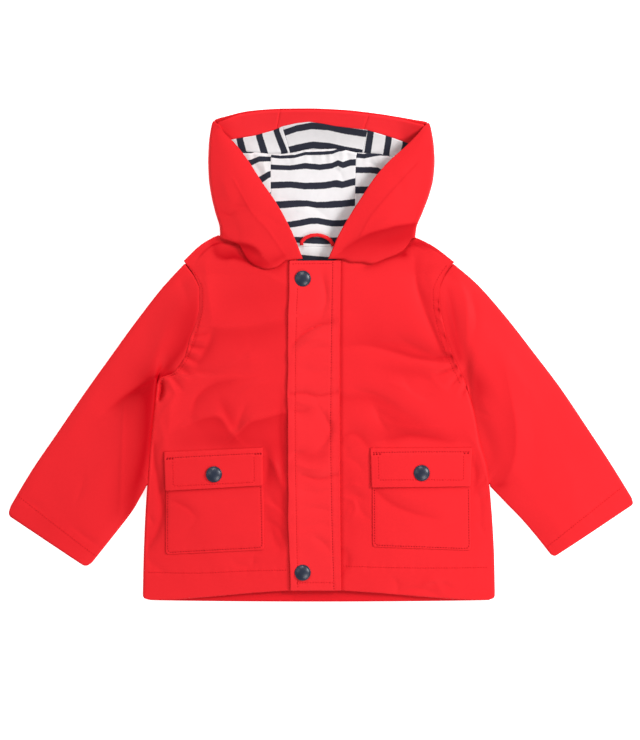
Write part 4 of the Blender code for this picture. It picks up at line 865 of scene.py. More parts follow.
# How much higher than in the tables the creases of a piece are.
BODY_RELIEF, FLAP_RELIEF, GATHER_RELIEF, SLEEVE_RELIEF = 1.4, 1.6, 1.4, 1.25
# How far inside the edge the body's creases and its gathers are at full height.
CREASE_INSET, GATHER_INSET = 4, 1.6


def front_base(x, y):
    """The fronts' outer face with its folds and creases, before its own sewing."""
    x, y = np.asarray(x, float), np.asarray(y, float)
    crown, inside = smooth(y, BODY_CROWN, "y", "height"), inside_edge(x, y)
    edge = np.maximum(edge_height(y), side_height(y))
    roll = np.sin(np.pi / 2 * np.clip(inside / SIDE_ROLL, 0, 1))
    broad = 1 - (1 - np.clip(inside / SIDE_REACH, 0, 1)) ** 2
    rolled_share = ROLL_SHARE * ease((ROLL_END_Y - y) / ROLL_FADE)
    rise = rolled_share * roll + (1 - rolled_share) * broad
    soft = FOLD_SHARE * folds(x, y, FRONT_FOLDS) + BODY_RELIEF * crease_height(x, y, BODY_CREASES)
    soft = soft + wander(x, y, BODY_SWELL) + wander(x, y, BODY_SMALL_SWELL)
    return edge + (crown - edge) * rise + soft * ease(inside / CREASE_INSET)


def rim_at(x):
    """Where the hood's rim is over the crown, and how high."""
    return smooth(x, RIM, "x", "y"), smooth(x, RIM, "x", "height")


def tray(x, y):
    """The height of the hood's outer face, which lies flat and then leaves the surface towards the rim."""
    top_y, rim_z = rim_at(x)
    rise = np.clip((y - CROWN_FOOT_Y) / (top_y - CROWN_FOOT_Y), 0, 1)
    return rim_z * rise**CROWN_LEAN


def inside_tray(x, y, lift):
    """Points that lie a lift inside the hood's outer face."""
    step = 0.5
    slope_x = (tray(x + step, y) - tray(x - step, y)) / (2 * step)
    slope_y = (tray(x, y) - tray(x, y - step)) / step
    up = np.stack([-slope_x, -slope_y, np.ones(np.shape(x))], -1)
    up /= np.linalg.norm(up, axis=-1, keepdims=True)
    return np.stack([x, y, tray(x, y)], -1) + up * np.asarray(lift)[..., None]


# ---------------------------------------------------------------- materials


def node(tree, kind, **values):
    """A shader node with its properties and input values set; a value that is a socket is linked."""
    made = tree.nodes.new(kind)
    for name, value in values.items():
        if hasattr(made, name) and name not in made.inputs:
            setattr(made, name, value)
            continue
        numbered = name[0] == "i" and name[1:].isdigit()
        socket = made.inputs[int(name[1:]) if numbered else name.replace("_", " ")]
        if isinstance(value, bpy.types.NodeSocket):
            tree.links.new(value, socket)
        else:
            socket.default_value = value
    return made


def new_material(name):
    """A material, its node tree and its main shader."""
    mat = bpy.data.materials.new(name)
    mat.use_nodes = True
    return mat, mat.node_tree, mat.node_tree.nodes["Principled BSDF"]


def maths(tree, operation, a, b=0.0):
    return node(tree, "ShaderNodeMath", operation=operation, i0=a, i1=b).outputs[0]


def blend(tree, factor, a, b):
    made = node(tree, "ShaderNodeMix", data_type="RGBA")
    for socket, value in ((made.inputs[0], factor), (made.inputs[6], a), (made.inputs[7], b)):
        if isinstance(value, bpy.types.NodeSocket):
            tree.links.new(value, socket)
        else:
            socket.default_value = value
    return made.outputs[2]


# A wave texture's threads are this many metres apart at a scale of 1.
WAVE_SCALE = 0.314


def thread_waves(tree, where, direction, period, uneven):
    """Threads that follow each other by a period in metres."""
    scale = WAVE_SCALE / period
    kind = "ShaderNodeTexWave"
    made = node(tree, kind, bands_direction=direction, Vector=where, Scale=scale, Distortion=uneven)
    return made.outputs["Fac"]


def weave_height(tree, where, period, slub):
    """A plain weave: two crossed sets of threads, each a little uneven."""
    warp = thread_waves(tree, where, "X", period, 0.6)
    weft = thread_waves(tree, where, "Y", period, 0.6)
    grain = node(tree, "ShaderNodeTexNoise", Vector=where, Scale=slub, Detail=3.0, Roughness=0.6)
    threads = maths(tree, "MULTIPLY", warp, weft)
    return maths(tree, "ADD", maths(tree, "MULTIPLY", threads, 0.4), grain.outputs["Fac"])


def mesh_attribute(tree, name):
    return node(tree, "ShaderNodeAttribute", attribute_type="GEOMETRY", attribute_name=name).outputs["Fac"]


# The colour of full painted shade, in the cloth's deep folds and shadows.
PAINTED_SHADE_RED = (0.50, 0.0012, 0.0065, 1)
# How far apart the shell's threads and the jersey's ribs are, in metres.
WEAVE_PERIOD, RIB_PERIOD = 0.0008, 0.0011
# A stripe's edge is soft between these distances from its middle, in stripes.
STRIPE_INNER, STRIPE_OUTER = 0.158, 0.193


def red_material(name, light, dark, roughness):
    """A coated woven cloth: slightly uneven in colour, with a fine weave, a soft sheen and painted shade."""
    mat, tree, shader = new_material(name)
    where = node(tree, "ShaderNodeTexCoord").outputs["Object"]
    broad = node(tree, "ShaderNodeTexNoise", Vector=where, Scale=14.0, Detail=3.0, Roughness=0.55)
    fine = node(tree, "ShaderNodeTexNoise", Vector=where, Scale=420.0, Detail=2.0, Roughness=0.6)
    broad_share = maths(tree, "MULTIPLY", broad.outputs["Fac"], 0.7)
    fine_share = maths(tree, "MULTIPLY", fine.outputs["Fac"], 0.5)
    mixed = maths(tree, "ADD", broad_share, fine_share)
    colour = blend(tree, mixed, (*dark, 1), (*light, 1))
    # Painted shade: each point's painted shade attribute darkens the colour towards a deep red.
    colour = blend(tree, mesh_attribute(tree, "shade"), colour, PAINTED_SHADE_RED)
    tree.links.new(colour, shader.inputs["Base Color"])
    height = weave_height(tree, where, WEAVE_PERIOD, 900.0)
    bump = node(tree, "ShaderNodeBump", Strength=0.28, Distance=0.0002, Height=height)
    tree.links.new(bump.outputs[0], shader.inputs["Normal"])
    shader.inputs["Roughness"].default_value = roughness
    shader.inputs["Specular IOR Level"].default_value = 0.06
    return mat


def jersey_material():
    """White jersey with navy stripes: each whole number of the stripe attribute is the middle of a stripe."""
    mat, tree, shader = new_material("striped_jersey_look")
    where = node(tree, "ShaderNodeTexCoord").outputs["Object"]
    rows = mesh_attribute(tree, "stripe")
    edge = node(tree, "ShaderNodeTexNoise", Vector=where, Scale=700.0, Detail=1.0).outputs["Fac"]
    rows = maths(tree, "ADD", rows, maths(tree, "MULTIPLY", maths(tree, "SUBTRACT", edge, 0.5), 0.03))
    part = maths(tree, "FRACT", maths(tree, "ADD", rows, 0.5))
    off = maths(tree, "ABSOLUTE", maths(tree, "SUBTRACT", part, 0.5))
    reach = {"From_Min": STRIPE_INNER, "From_Max": STRIPE_OUTER, "To_Min": 1.0, "To_Max": 0.0}
    band = node(tree, "ShaderNodeMapRange", interpolation_type="SMOOTHSTEP", Value=off, **reach)
    tone = node(tree, "ShaderNodeTexNoise", Vector=where, Scale=160.0, Detail=3.0).outputs["Fac"]
    white = blend(tree, tone, (0.72, 0.70, 0.71, 1), (0.82, 0.80, 0.81, 1))
    navy = blend(tree, tone, (0.016, 0.017, 0.030, 1), (0.028, 0.030, 0.046, 1))
    tree.links.new(blend(tree, band.outputs[0], white, navy), shader.inputs["Base Color"])
    ribs = thread_waves(tree, where, "X", RIB_PERIOD, 1.5)
    grain = node(tree, "ShaderNodeTexNoise", Vector=where, Scale=500.0, Detail=3.0)
    height = maths(tree, "ADD", maths(tree, "MULTIPLY", ribs, 0.5), grain.outputs["Fac"])
    bump = node(tree, "ShaderNodeBump", Strength=0.35, Distance=0.0003, Height=height)
    tree.links.new(bump.outputs[0], shader.inputs["Normal"])
    shader.inputs["Roughness"].default_value = 0.95
    shader.inputs["Specular IOR Level"].default_value = 0.15
    shader.inputs["Sheen Weight"].default_value = 0.1
    return mat


def plain_material(name, light, dark, scale, roughness, specular):
    """A nearly plain finish with slight mottling and fine bumps."""
    mat, tree, shader = new_material(name)
    where = node(tree, "ShaderNodeTexCoord").outputs["Object"]
    tone = node(tree, "ShaderNodeTexNoise", Vector=where, Scale=scale, Detail=3.0).outputs["Fac"]
    tree.links.new(blend(tree, tone, (*dark, 1), (*light, 1)), shader.inputs["Base Color"])
    bump = node(tree, "ShaderNodeBump", Strength=0.08, Distance=0.0001, Height=tone)
    tree.links.new(bump.outputs[0], shader.inputs["Normal"])
    shader.inputs["Roughness"].default_value = roughness
    shader.inputs["Specular IOR Level"].default_value = specular
    return mat


RED = red_material("red_cloth_look", (0.81, 0.0203, 0.0266), (0.73, 0.0166, 0.0225), 0.5)
# A lighter copy of the red cloth for the storm flap: painted light, for its brighter sheen.
RED_FLAP_PAINTED_LIGHT = red_material("red_flap_look", (0.84, 0.0250, 0.0318), (0.77, 0.0214, 0.0278), 0.5)
# A darker copy of the red cloth for the hem facing: painted shade, for the shadow under the fronts' hem.
RED_UNDER_PAINTED_SHADE = red_material("red_hem_facing_look", (0.76, 0.0125, 0.0200), (0.69, 0.0105, 0.0170), 0.5)
# A lighter copy of the red cloth for the hood's facing: painted light, where the hood's wall turns it from
# the lamps.
RED_FACING_PAINTED_LIGHT = red_material("red_facing_look", (1.0, 0.0310, 0.0400), (0.96, 0.0265, 0.0345), 0.6)
JERSEY = jersey_material()
NAVY = plain_material("navy_snap_look", (0.013, 0.020, 0.045), (0.008, 0.013, 0.030), 300.0, 0.36, 0.6)
# The threads are darker than the cloth: painted shade, for the shade in their stitch holes.
THREAD_PAINTED_SHADE = plain_material("red_thread_look", (0.47, 0.003, 0.010), (0.36, 0.002, 0.007), 900.0, 0.7, 0.1)
FINE_THREAD_PAINTED_SHADE = plain_material("fine_thread_look", (0.70, 0.011, 0.017), (0.62, 0.008, 0.014), 900.0, 0.7, 0.1)


# ---------------------------------------------------------------- meshes


def grid_cells(rows, columns, ring, keep):
    """The grid's cells, each by the numbers of its four corners."""
    index = np.arange(rows * columns).reshape(rows, columns)
    right = np.roll(index, -1, 1) if ring else index[:, 1:]
    left = index if ring else index[:, :-1]
    quads = np.stack([left[:-1], right[:-1], right[1:], left[1:]], -1)
    if keep is not None:
        r, c = np.meshgrid(range(quads.shape[0]), range(quads.shape[1]), indexing="ij")
        quads = quads[keep(r, c)]
    return quads.reshape(-1, 4)


def outer_edges(quads, point_count):
    """The edges that belong to one cell only, round the outline."""
    edges = np.concatenate([quads[:, [k, (k + 1) % 4]] for k in range(4)])
    low, high = edges.min(1).astype(np.int64), edges.max(1).astype(np.int64)
    _, first, count = np.unique(low * point_count + high, return_index=True, return_counts=True)
    return edges[first[count == 1]]


def quad_mesh(name, verts, faces):
    mesh = bpy.data.meshes.new(name)
    mesh.vertices.add(len(verts))
    mesh.vertices.foreach_set("co", verts.astype(np.float32).reshape(-1))
    mesh.loops.add(faces.size)
    mesh.loops.foreach_set("vertex_index", faces.astype(np.int32).reshape(-1))
    mesh.polygons.add(len(faces))
    mesh.polygons.foreach_set("loop_start", np.arange(0, faces.size, 4, dtype=np.int32))
    mesh.update(calc_edges=True)
    mesh.validate()
    return mesh


def place(name, mesh, mat, slot, replaced):
    """Adds a finished mesh to the scene, on the jacket's one body."""
    mesh.shade_smooth()
    mesh.materials.append(mat)
    ob = bpy.data.objects.new(name, mesh)
    bpy.context.collection.objects.link(ob)
    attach(ob, "root")
    if replaced:
        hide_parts(*replaced)
    return ob


# How much thinner a cloth edge is on each side than its wall, and how much of its box a sheet fills at least.
PINCH, LEAST_FILL = 0.42, 0.31
# A sheet's area is taken this much under what is measured, so that it never passes its box.
AREA_MARGIN = 0.999


def state_sheet(points, ring, cells):
    """Works out how large the cloth is when it is laid flat; nothing uses the result."""
    closed = np.concatenate([points, points[:, :1]], 1) if ring else points
    width = np.linalg.norm(np.diff(closed, axis=1), axis=2).sum(1).max() * MM
    length = np.linalg.norm(np.diff(points, axis=0), axis=2).sum(0).max() * MM
    area = np.linalg.norm(cells, axis=1).sum() / 2 * MM * MM
    area = float(np.clip(area, LEAST_FILL * width * length, width * length)) * AREA_MARGIN


def cloth(
    node_name, points, wall, mat, slot, held, rests_on, ring=False, keep=None, pinch=PINCH, **attributes
):
    """A cloth piece from a grid of points on its upper or outer face, with a wall below or inside it.

    The edges are pinched thin, so that they look turned and pressed. keep(row, column) says which
    cells there are. The attributes are stripe, each point's place in the stripes, and the one for painted
    shade, how far painted shade darkens its colour.
    """
    points = np.asarray(points, float)
    quads = grid_cells(*points.shape[:2], ring, keep)
    flat = points.reshape(-1, 3)
    cells = np.cross(flat[quads[:, 2]] - flat[quads[:, 0]], flat[quads[:, 3]] - flat[quads[:, 1]])
    normals = np.zeros_like(flat)
    for k in range(4):
        np.add.at(normals, quads[:, k], cells)
    normals /= np.maximum(np.linalg.norm(normals, axis=1, keepdims=True), 1e-9)
    rim = outer_edges(quads, len(flat))
    thin = np.zeros(len(flat))
    thin[rim.reshape(-1)] = pinch * wall
    outer = flat - normals * thin[:, None]
    inner = flat - normals * (wall - thin)[:, None]
    used = np.unique(quads)
    renumber = np.full(len(flat), -1)
    renumber[used] = np.arange(len(used))
    verts = np.concatenate([outer[used], inner[used]]) * MM
    verts[:, 2] = np.maximum(verts[:, 2], 0)
    shift = len(used)
    upper, edge = renumber[quads], renumber[rim]
    sides = np.stack([edge[:, 1], edge[:, 0], edge[:, 0] + shift, edge[:, 1] + shift], 1)
    mesh = quad_mesh(f"{node_name}_cloth", verts, np.concatenate([upper, upper[:, ::-1] + shift, sides]))
    for attribute, given in attributes.items():
        if given is not None:
            values = np.tile(np.asarray(given, float).reshape(-1)[used], 2).astype(np.float32)
            mesh.attributes.new(attribute, "FLOAT", "POINT").data.foreach_set("value", values)
    ob = place(f"{node_name}_cloth", mesh, mat, slot, [node_name])
    state_sheet(points, ring, cells)


def plain_object(name, verts, faces, mat, slot, replaced=()):
    mesh = bpy.data.meshes.new(name)
    mesh.from_pydata([tuple(v) for v in np.asarray(verts, float) * MM], [], faces)
    place(name, mesh, mat, slot, replaced)


def tube_faces(rings, sides, start=0):
    """The faces round a tube of rings of points, numbered from start, with both its ends closed."""
    faces = []
    for i in range(rings - 1):
        low, high = start + i * sides, start + (i + 1) * sides
        for j in range(sides):
            n = (j + 1) % sides
            faces.append((low + j, low + n, high + n, high + j))
    last = start + (rings - 1) * sides
    faces.append(tuple(start + j for j in reversed(range(sides))))
    faces.append(tuple(last + j for j in range(sides)))
    return faces


STITCH_PITCH, STITCH_LENGTH, STITCH_RADIUS, STITCH_SIDES = 2.45, 1.45, 0.4, 6
# A stitch's rings: how far along its half length each is, and its share of the radius.
STITCH_RINGS = ((-1.0, 0.25), (-0.7, 0.85), (0.0, 1.0), (0.7, 0.85), (1.0, 0.25))
# How far above its cloth's face the middle of a thread lies.
THREAD_LIFT = 0.12


def stitch_points(a, b):
    """One stitch from a to b: a small spindle."""
    along = (b - a) / max(np.linalg.norm(b - a), 1e-6)
    beside = np.cross((0, 0, 1), along)
    beside /= max(np.linalg.norm(beside), 1e-6)
    over = np.cross(along, beside)
    points = []
    for t, share in STITCH_RINGS:
        for j in range(STITCH_SIDES):
            angle = 2 * math.pi * j / STITCH_SIDES
            outward = beside * math.cos(angle) + over * math.sin(angle)
            points.append((a + b) / 2 + (b - a) / 2 * t + outward * share * STITCH_RADIUS)
    return points


def stitches(name, runs, slot, thread=THREAD_PAINTED_SHADE):
    """Rows of thread, each stitch lying in its groove. A run is a line of points in space."""
    verts, faces = [], []
    for run in runs:
        run = np.asarray(run, float)
        steps = np.linalg.norm(np.diff(run, axis=0), axis=1)
        at = np.concatenate([[0], np.cumsum(steps)])
        count = int(at[-1] / STITCH_PITCH)
        for k in range(count):
            middle = (k + 0.5) * at[-1] / count
            ends = (middle - STITCH_LENGTH / 2, middle + STITCH_LENGTH / 2)
            a, b = (np.array([np.interp(end, at, run[:, i]) for i in range(3)]) for end in ends)
            faces += tube_faces(len(STITCH_RINGS), STITCH_SIDES, len(verts))
            verts += stitch_points(a, b)
    plain_object(name, verts, faces, thread, slot)


def on(top, lines):
    """Lines of points in plan, laid as thread on a piece's upper face."""
    return [np.stack([x, y, top(x, y) + THREAD_LIFT], -1) for x, y in (line.T for line in lines)]


# ---------------------------------------------------------------- body


def packed(*spans):
    """Steps that join spans of (start, end, count)."""
    parts = [np.linspace(a, b, n + 1)[:-1] for a, b, n in spans]
    return np.concatenate(parts + [[spans[-1][1]]])


# The fronts' rows, closer together at the hem, and their columns, closer together at the side.
HEM_EDGE_Y = HEM_Y + 2.4
ROWS_Y = packed(
    (HEM_Y, HEM_EDGE_Y, 4), (HEM_EDGE_Y, UNDERARM_Y, 130), (UNDERARM_Y, TIP_Y, 78), (TIP_Y, NECK_POINT_Y, 14)
)
ACROSS_T = packed((0.004, 0.05, 10), (0.05, 1.0, 106))


def round_hem(x, y, y_side, from_side, share):
    """Draws the hem's corner in. from_side is how far across its piece a point is from the side."""
    corner = np.maximum(0, 1 - (y_side - HEM_Y) / HEM_ROUND) ** 2 * HEM_ROUND * CORNER_DRAW
    drawn = corner * np.clip(1 - from_side / share, 0, 1) ** 2
    return x - np.sign(x) * drawn, y + drawn * CORNER_LIFT


def front_plan(side):
    """The plan of a front's points, in rows from the hem, each from the side to the centre."""
    centre = CENTRE_FRONT_X - INTO[side] * HALF_GAP
    neck = NECK_UNDER_HOOD[side]
    y_side, t = ROWS_Y[:, None], ACROSS_T[None, :]
    up = (y_side - HEM_Y) / (NECK_POINT_Y - HEM_Y)
    x_side = side_x(side, y_side)
    y_centre = FRONT_HEM_MIDDLE_Y + up * (neck[-1].y - FRONT_HEM_MIDDLE_Y)
    x = x_side + t * (centre - x_side)
    y = y_side + (y_centre - y_side) * ease(t)
    y_neck = smooth(neck[0].x + t * (centre - neck[0].x), neck, "x", "y")
    y_plain = NECK_POINT_Y + (neck[-1].y - NECK_POINT_Y) * ease(t)
    y = y + (y_neck - y_plain) * np.maximum(up, 0) ** NECKLINE_REACH
    return round_hem(x, y, y_side, t, FRONT_CORNER_SHARE)


# The topstitching lies this far inside the armhole's edge, and ends this far short of both its ends.
TOPSTITCH_INSET, TOPSTITCH_SHORT = {"right": 3.6, "left": 5.6}, 1.5


def armhole_line(side):
    y = np.linspace(UNDERARM_Y + TOPSTITCH_SHORT, TIP_Y - TOPSTITCH_SHORT, 46)
    return np.stack([side_x(side, y) + INTO[side] * TOPSTITCH_INSET[side], y], -1)


# The hem's and the shoulders' sewing, and the storm flap's foot, in camera pixels.
HEM_LINES = {
    "right": px_line((148, 572.5), (200, 573), (245, 571), (287, 570)),
    "left": px_line((343, 566), (390, 567.5), (440, 568), (488, 567.5)),
}
SHOULDER_LINES = {
    "right": px_line(
        (193, 263), (198, 257.5), (205, 250.6), (211, 247), (217.5, 244.5), (227.5, 243), (238, 244.5)
    ),
    "left": px_line((408, 246), (417, 246.5), (422, 249), (430, 248.5), (440, 254)),
}
FLAP_FOOT = px_line((340.5, 258), (339.6, 350), (339.4, 470), (341, 592))
FRONT_SEAMS = {
    side: [
        Seam(HEM_LINES[side], 0.06, 0.8, 0.14, 5, 9),
        Seam(armhole_line(side), 0.16, 0.6, 0.16, 4, 5),
        Seam(SHOULDER_LINES[side], 0.5, 0.8, 0.1, 3, 7),
    ]
    for side in SIDES
}
FRONT_SEAMS["left"].append(Seam(FLAP_FOOT, 0.9, 1.6, 0.15, 6, 9))
# How much painted shade the cloth takes in the troughs of the gathers.
GATHER_PAINTED_SHADE = 0.5


def front_surface(side):
    """A front's outer face with its gathers and its sewing."""

    def top(x, y):
        gathered = GATHER_RELIEF * crease_height(x, y, GATHERS) * ease(inside_edge(x, y) / GATHER_INSET)
        return front_base(x, y) + gathered + seam_height(x, y, FRONT_SEAMS[side])

    return top


def side_wrap(side, edge):
    """The columns that go round a front's side edge and in under it."""
    drop = np.where(edge[:, 1] < UNDERARM_Y, 1.0, ARMHOLE_WRAP)[:, None]
    columns = [edge + (INTO[side] * (dx - SIDE_INSET), 0, 0) + drop * (0, 0, dz) for dx, dz in SIDE_WRAP]
    return np.stack(columns, 1)


def make_fronts():
    for side in SIDES:
        top = front_surface(side)
        x, y = front_plan(side)
        grid = np.stack([x, y, top(x, y)], -1)
        grid = np.concatenate([side_wrap(side, grid[:, 0]), grid], 1)
        if side == "left":
            grid = grid[:, ::-1]
        x, y = grid[..., 0], grid[..., 1]
        # Painted shade on the front: from its table, and in the troughs of the gathers.
        fallen = np.maximum(-crease_height(x, y, GATHERS), 0)
        painted_shade_amount = np.clip(shade(x, y, FRONT_PAINTED_SHADE) + GATHER_PAINTED_SHADE * fallen, 0, 1)
        cloth(f"front_{side}", grid, SHELL, RED, "red_cloth", "laid", ["back"], shade=painted_shade_amount)
        runs = on(top, [HEM_LINES[side], armhole_line(side)])
        stitches(f"front_{side}_stitches", runs, "red_cloth", FINE_THREAD_PAINTED_SHADE)


def back_neck_y(x):
    return BACK_NECK_Y + BACK_NECK_RISE * (x / BACK_NECK_HALF) ** 2


# The back's edges are pinched less, as they lie on the surface.
BACK_PINCH = 0.3


def make_back():
    rows = packed((HEM_Y, HEM_EDGE_Y, 3), (HEM_EDGE_Y, UNDERARM_Y, 50), (UNDERARM_Y, NECK_POINT_Y, 40))
    y_side = rows[:, None]
    t = packed((0, 0.03, 4), (0.03, 0.97, 60), (0.97, 1, 4))[None, :]
    up = (y_side - HEM_Y) / (NECK_POINT_Y - HEM_Y)
    right, left = side_x("right", y_side), side_x("left", y_side)
    x = right + t * (left - right)
    bow = 1 - (2 * t - 1) ** 2
    y = y_side - BACK_HEM_DROP * bow * (1 - up) ** HEM_REACH
    y = y + (back_neck_y(x) - NECK_POINT_Y) * np.where(bow > 0, up**BACK_NECK_REACH, 0)
    x, y = round_hem(x, y, y_side, np.minimum(t, 1 - t), BACK_CORNER_SHARE)
    grid = np.stack([x, y, np.full(x.shape, SHELL)], -1)
    cloth("back", grid, SHELL, RED, "red_cloth", "laid", ["floor"], pinch=BACK_PINCH)


def make_level_piece(name, mat, slot, x_range, low_y, high_y, counts, swell, stripe=None):
    """A piece lying on the back panel, seen between the fronts or below them."""
    v, t = np.linspace(0, 1, counts[0] + 1)[:, None], np.linspace(0, 1, counts[1] + 1)[None, :]
    x = x_range[0] + t * (x_range[1] - x_range[0]) + 0 * v
    y = low_y(x) + v * (high_y(x) - low_y(x))
    grid = np.stack([x, y, ON_SHELL + LINING + swell.height + wander(x, y, swell)], -1)
    cloth(name, grid, LINING, mat, slot, "laid", ["back"], stripe=None if stripe is None else stripe(x, y))


def neck_lining_foot(x):
    return NECK_LINING_Y[0] + 0 * x


def neck_lining_top(x):
    return back_neck_y(x) + LAP


def hem_facing_foot(x):
    return HEM_Y - BACK_HEM_DROP * (1 - (x / HEM_FACING_BOW) ** 2) + TURNED_IN


def hem_facing_top(x):
    return hem_facing_foot(x) + HEM_FACING_DEPTH


def make_back_inside():
    foot, top, stripe = neck_lining_foot, neck_lining_top, striped(BACK_STRIPES)
    slot = "striped_jersey"
    make_level_piece("neck_lining", JERSEY, slot, NECK_LINING_X, foot, top, (60, 80), NECK_SWELL, stripe)
    foot, top, ends = hem_facing_foot, hem_facing_top, (-HEM_FACING_HALF, HEM_FACING_HALF)
    make_level_piece("hem_facing", RED_UNDER_PAINTED_SHADE, "red_facing", ends, foot, top, (16, 180), HEM_SWELL)


# ---------------------------------------------------------------- sleeves


# How far a sleeve goes in under the front at the armhole and beside the body, and where it leaves the body.
ARMHOLE_TUCK, SIDE_TUCK, SLEEVE_LEAVES_Y = 0.8, 1.3, -120.0
# From there its inner edge runs in the open down to the cuff.
OPEN_EDGE = {
    "right": px_line((147.2, 484.5), (139.3, 499), (131, 513), (110, 540), (87.3, 568.4)),
    "left": px_line((490.2, 486.5), (506, 503), (522, 519.5), (537, 537), (553.5, 557.9)),
}
# How high a sleeve's inner edge stands against the body.
TUCKED_EDGE = {"right": 4.2, "left": 6.2}
# How far a sleeve lies below the front at their seam, and how far inside the front's edge that is measured.
ARMHOLE_DROP, FRONT_EDGE_INSET = 0.25, 1.2
# How a sleeve's upper face rises across it, from its outer edge to its inner one.
Rise = namedtuple("Rise", "t share")
SLEEVE_ACROSS = {
    "right": [
        Rise(0.0, 0.0),
        Rise(0.03, 0.16),
        Rise(0.15, 0.36),
        Rise(0.35, 0.62),
        Rise(0.6, 0.95),
        Rise(0.75, 1.0),
        Rise(0.9, 0.84),
        Rise(1.0, 0.4),
    ],
    "left": [
        Rise(0.0, 0.0),
        Rise(0.03, 0.12),
        Rise(0.2, 0.46),
        Rise(0.4, 0.8),
        Rise(0.6, 1.0),
        Rise(0.75, 0.92),
        Rise(0.88, 0.6),
        Rise(1.0, 0.12),
    ],
}
SLEEVE_LENGTH = 205.0
# How far along a sleeve its cuff's sewing is, how deep that pulls in, and how its puckers go.
CUFF_LINE_S, CUFF_GROOVE, CUFF_GROOVE_WIDTH = 0.938, 0.05, 0.8
CUFF_PUCKER, CUFF_PUCKER_REACH, CUFF_WAVE, CUFF_WIDTH = 0.12, 5, 8.0, 90
CUFF_ROUND = {"right": 5.5, "left": 4.0}
# The cuff's corners start to be rounded here, as a share of the sleeve's length.
CUFF_ROUND_FROM = 0.86
# A sleeve's pressed edge is this far across from its outermost line to its faces.
SLEEVE_ROUND = 1.2
# Over which share of its length a sleeve leaves the armhole's shape and comes down from its height.
LEAVES_ARMHOLE, COMES_DOWN = 0.25, 0.16
UNDER_COLUMNS, EDGE_COLUMNS = 40, 5


def armhole_point(side, t):
    y = TIP_Y + toward_underarm(t) * (UNDERARM_Y - TIP_Y)
    return np.stack([side_x(side, y) + INTO[side] * ARMHOLE_TUCK, y], -1)


def stations(side):
    """The sleeve's sections, numbered from 0 at the armhole to 1 at the cuff."""
    table = SLEEVE[side]
    return [Station(i / (len(table) - 1), *row) for i, row in enumerate(table)]


def tucked(side, s):
    """How much of a sleeve's inner edge is held against the body at the section s, and its shift there."""
    x, y = smooth(s, stations(side), "s", "inner_x"), smooth(s, stations(side), "s", "inner_y")
    beside = side_x(side, y) + INTO[side] * SIDE_TUCK
    line = OPEN_EDGE[side][::-1]
    in_open = np.interp(y, line[:, 1], line[:, 0])
    return ease((y - SLEEVE_LEAVES_Y) / 5), np.where(y > SLEEVE_LEAVES_Y, beside, in_open) - x


def sleeve_form(side, s, t, arc):
    """A point on a sleeve, and the height there.

    t runs across it from its outer to its inner edge, and arc turns round that edge.
    """
    table = SLEEVE[side]
    at = {c: smooth(s, stations(side), "s", c) for c in SleeveRow._fields}
    outer = np.stack([at["outer_x"], at["outer_y"]], -1)
    inner = np.stack([at["inner_x"], at["inner_y"]], -1)
    width = np.linalg.norm(inner - outer, axis=-1)
    inset = SLEEVE_ROUND / width
    first, last = np.array(table[0][:2], float), np.array(table[0][2:4], float)
    u = inset + t * (1 - 2 * inset) + arc * inset
    bow = armhole_point(side, t) - (first + u[..., None] * (last - first))
    strength = np.maximum(at["bow"], 0.0) ** (1 + BOW_FADE * u)
    xy = outer + u[..., None] * (inner - outer) + strength[..., None] * bow
    shift = tucked(side, s)[1] * ease(s / 0.012)
    x = xy[..., 0] + shift * ease((t - 0.6) / 0.4) * (1 - np.maximum(at["bow"], 0) ** 4)
    return x, xy[..., 1], at["height"]


def armhole_step(side, t):
    """How much higher a sleeve is at the armhole than its sections say, so that it meets the front."""
    seam = armhole_point(side, t)
    front = front_base(seam[..., 0] + INTO[side] * (FRONT_EDGE_INSET - ARMHOLE_TUCK), seam[..., 1])
    return front - ARMHOLE_DROP - SLEEVE_EDGE - (ARMHOLE_HEIGHT - SLEEVE_EDGE) * across(t)


def cuff_sewing(s, t):
    off = (s - CUFF_LINE_S) * SLEEVE_LENGTH
    groove = CUFF_GROOVE * np.exp(-((off / CUFF_GROOVE_WIDTH) ** 2))
    fades = np.exp(-((off / CUFF_PUCKER_REACH) ** 2)) * across(t)
    return CUFF_PUCKER * ripple(t * CUFF_WIDTH, CUFF_WAVE, 0.4) * fades - groove


def sleeve_top(side, s, t, x, y):
    """The height of a sleeve's upper face. At the armhole it meets the front."""
    height = sleeve_form(side, s, t, 0 * t)[2]
    away = ease(s / LEAVES_ARMHOLE)
    share = across(t) * (1 - away) + away * smooth(t, SLEEVE_ACROSS[side], "t", "share")
    edge = SLEEVE_EDGE + (inner_edge(side, s) - SLEEVE_EDGE) * t**4
    step = armhole_step(side, t) * (1 - ease(s / COMES_DOWN))
    soft = FOLD_SHARE * folds(x, y, SLEEVE_FOLDS) + SLEEVE_RELIEF * crease_height(x, y, SLEEVE_CREASES[side])
    soft = soft + wander(x, y, SLEEVE_SWELL) + wander(x, y, SLEEVE_SMALL_SWELL)
    soft = soft * ease(across(t) * 1.8) * ease(s / 0.06)
    return edge + (height - edge) * share + step + soft + cuff_sewing(s, t)


def inner_edge(side, s):
    """How high a sleeve's inner edge stands: lower where the body lies against it."""
    return SLEEVE_EDGE + (TUCKED_EDGE[side] - SLEEVE_EDGE) * tucked(side, s)[0] * ease(s / 0.05)


def cuffed(side, s, t, arc):
    """The cuff's corners are rounded: the last sections draw back at the edges."""
    row = SLEEVE[side][-1]
    width = math.hypot(row.outer_x - row.inner_x, row.outer_y - row.inner_y)
    from_outer = SLEEVE_ROUND + t * (width - 2 * SLEEVE_ROUND) + arc * SLEEVE_ROUND
    radius = CUFF_ROUND[side]
    low = 1 - np.minimum(np.minimum(from_outer, width - from_outer) / radius, 1)
    drawn = radius * (1 - np.sqrt(1 - low * low))
    return s - drawn / SLEEVE_LENGTH * ease((s - CUFF_ROUND_FROM) / (1 - CUFF_ROUND_FROM))


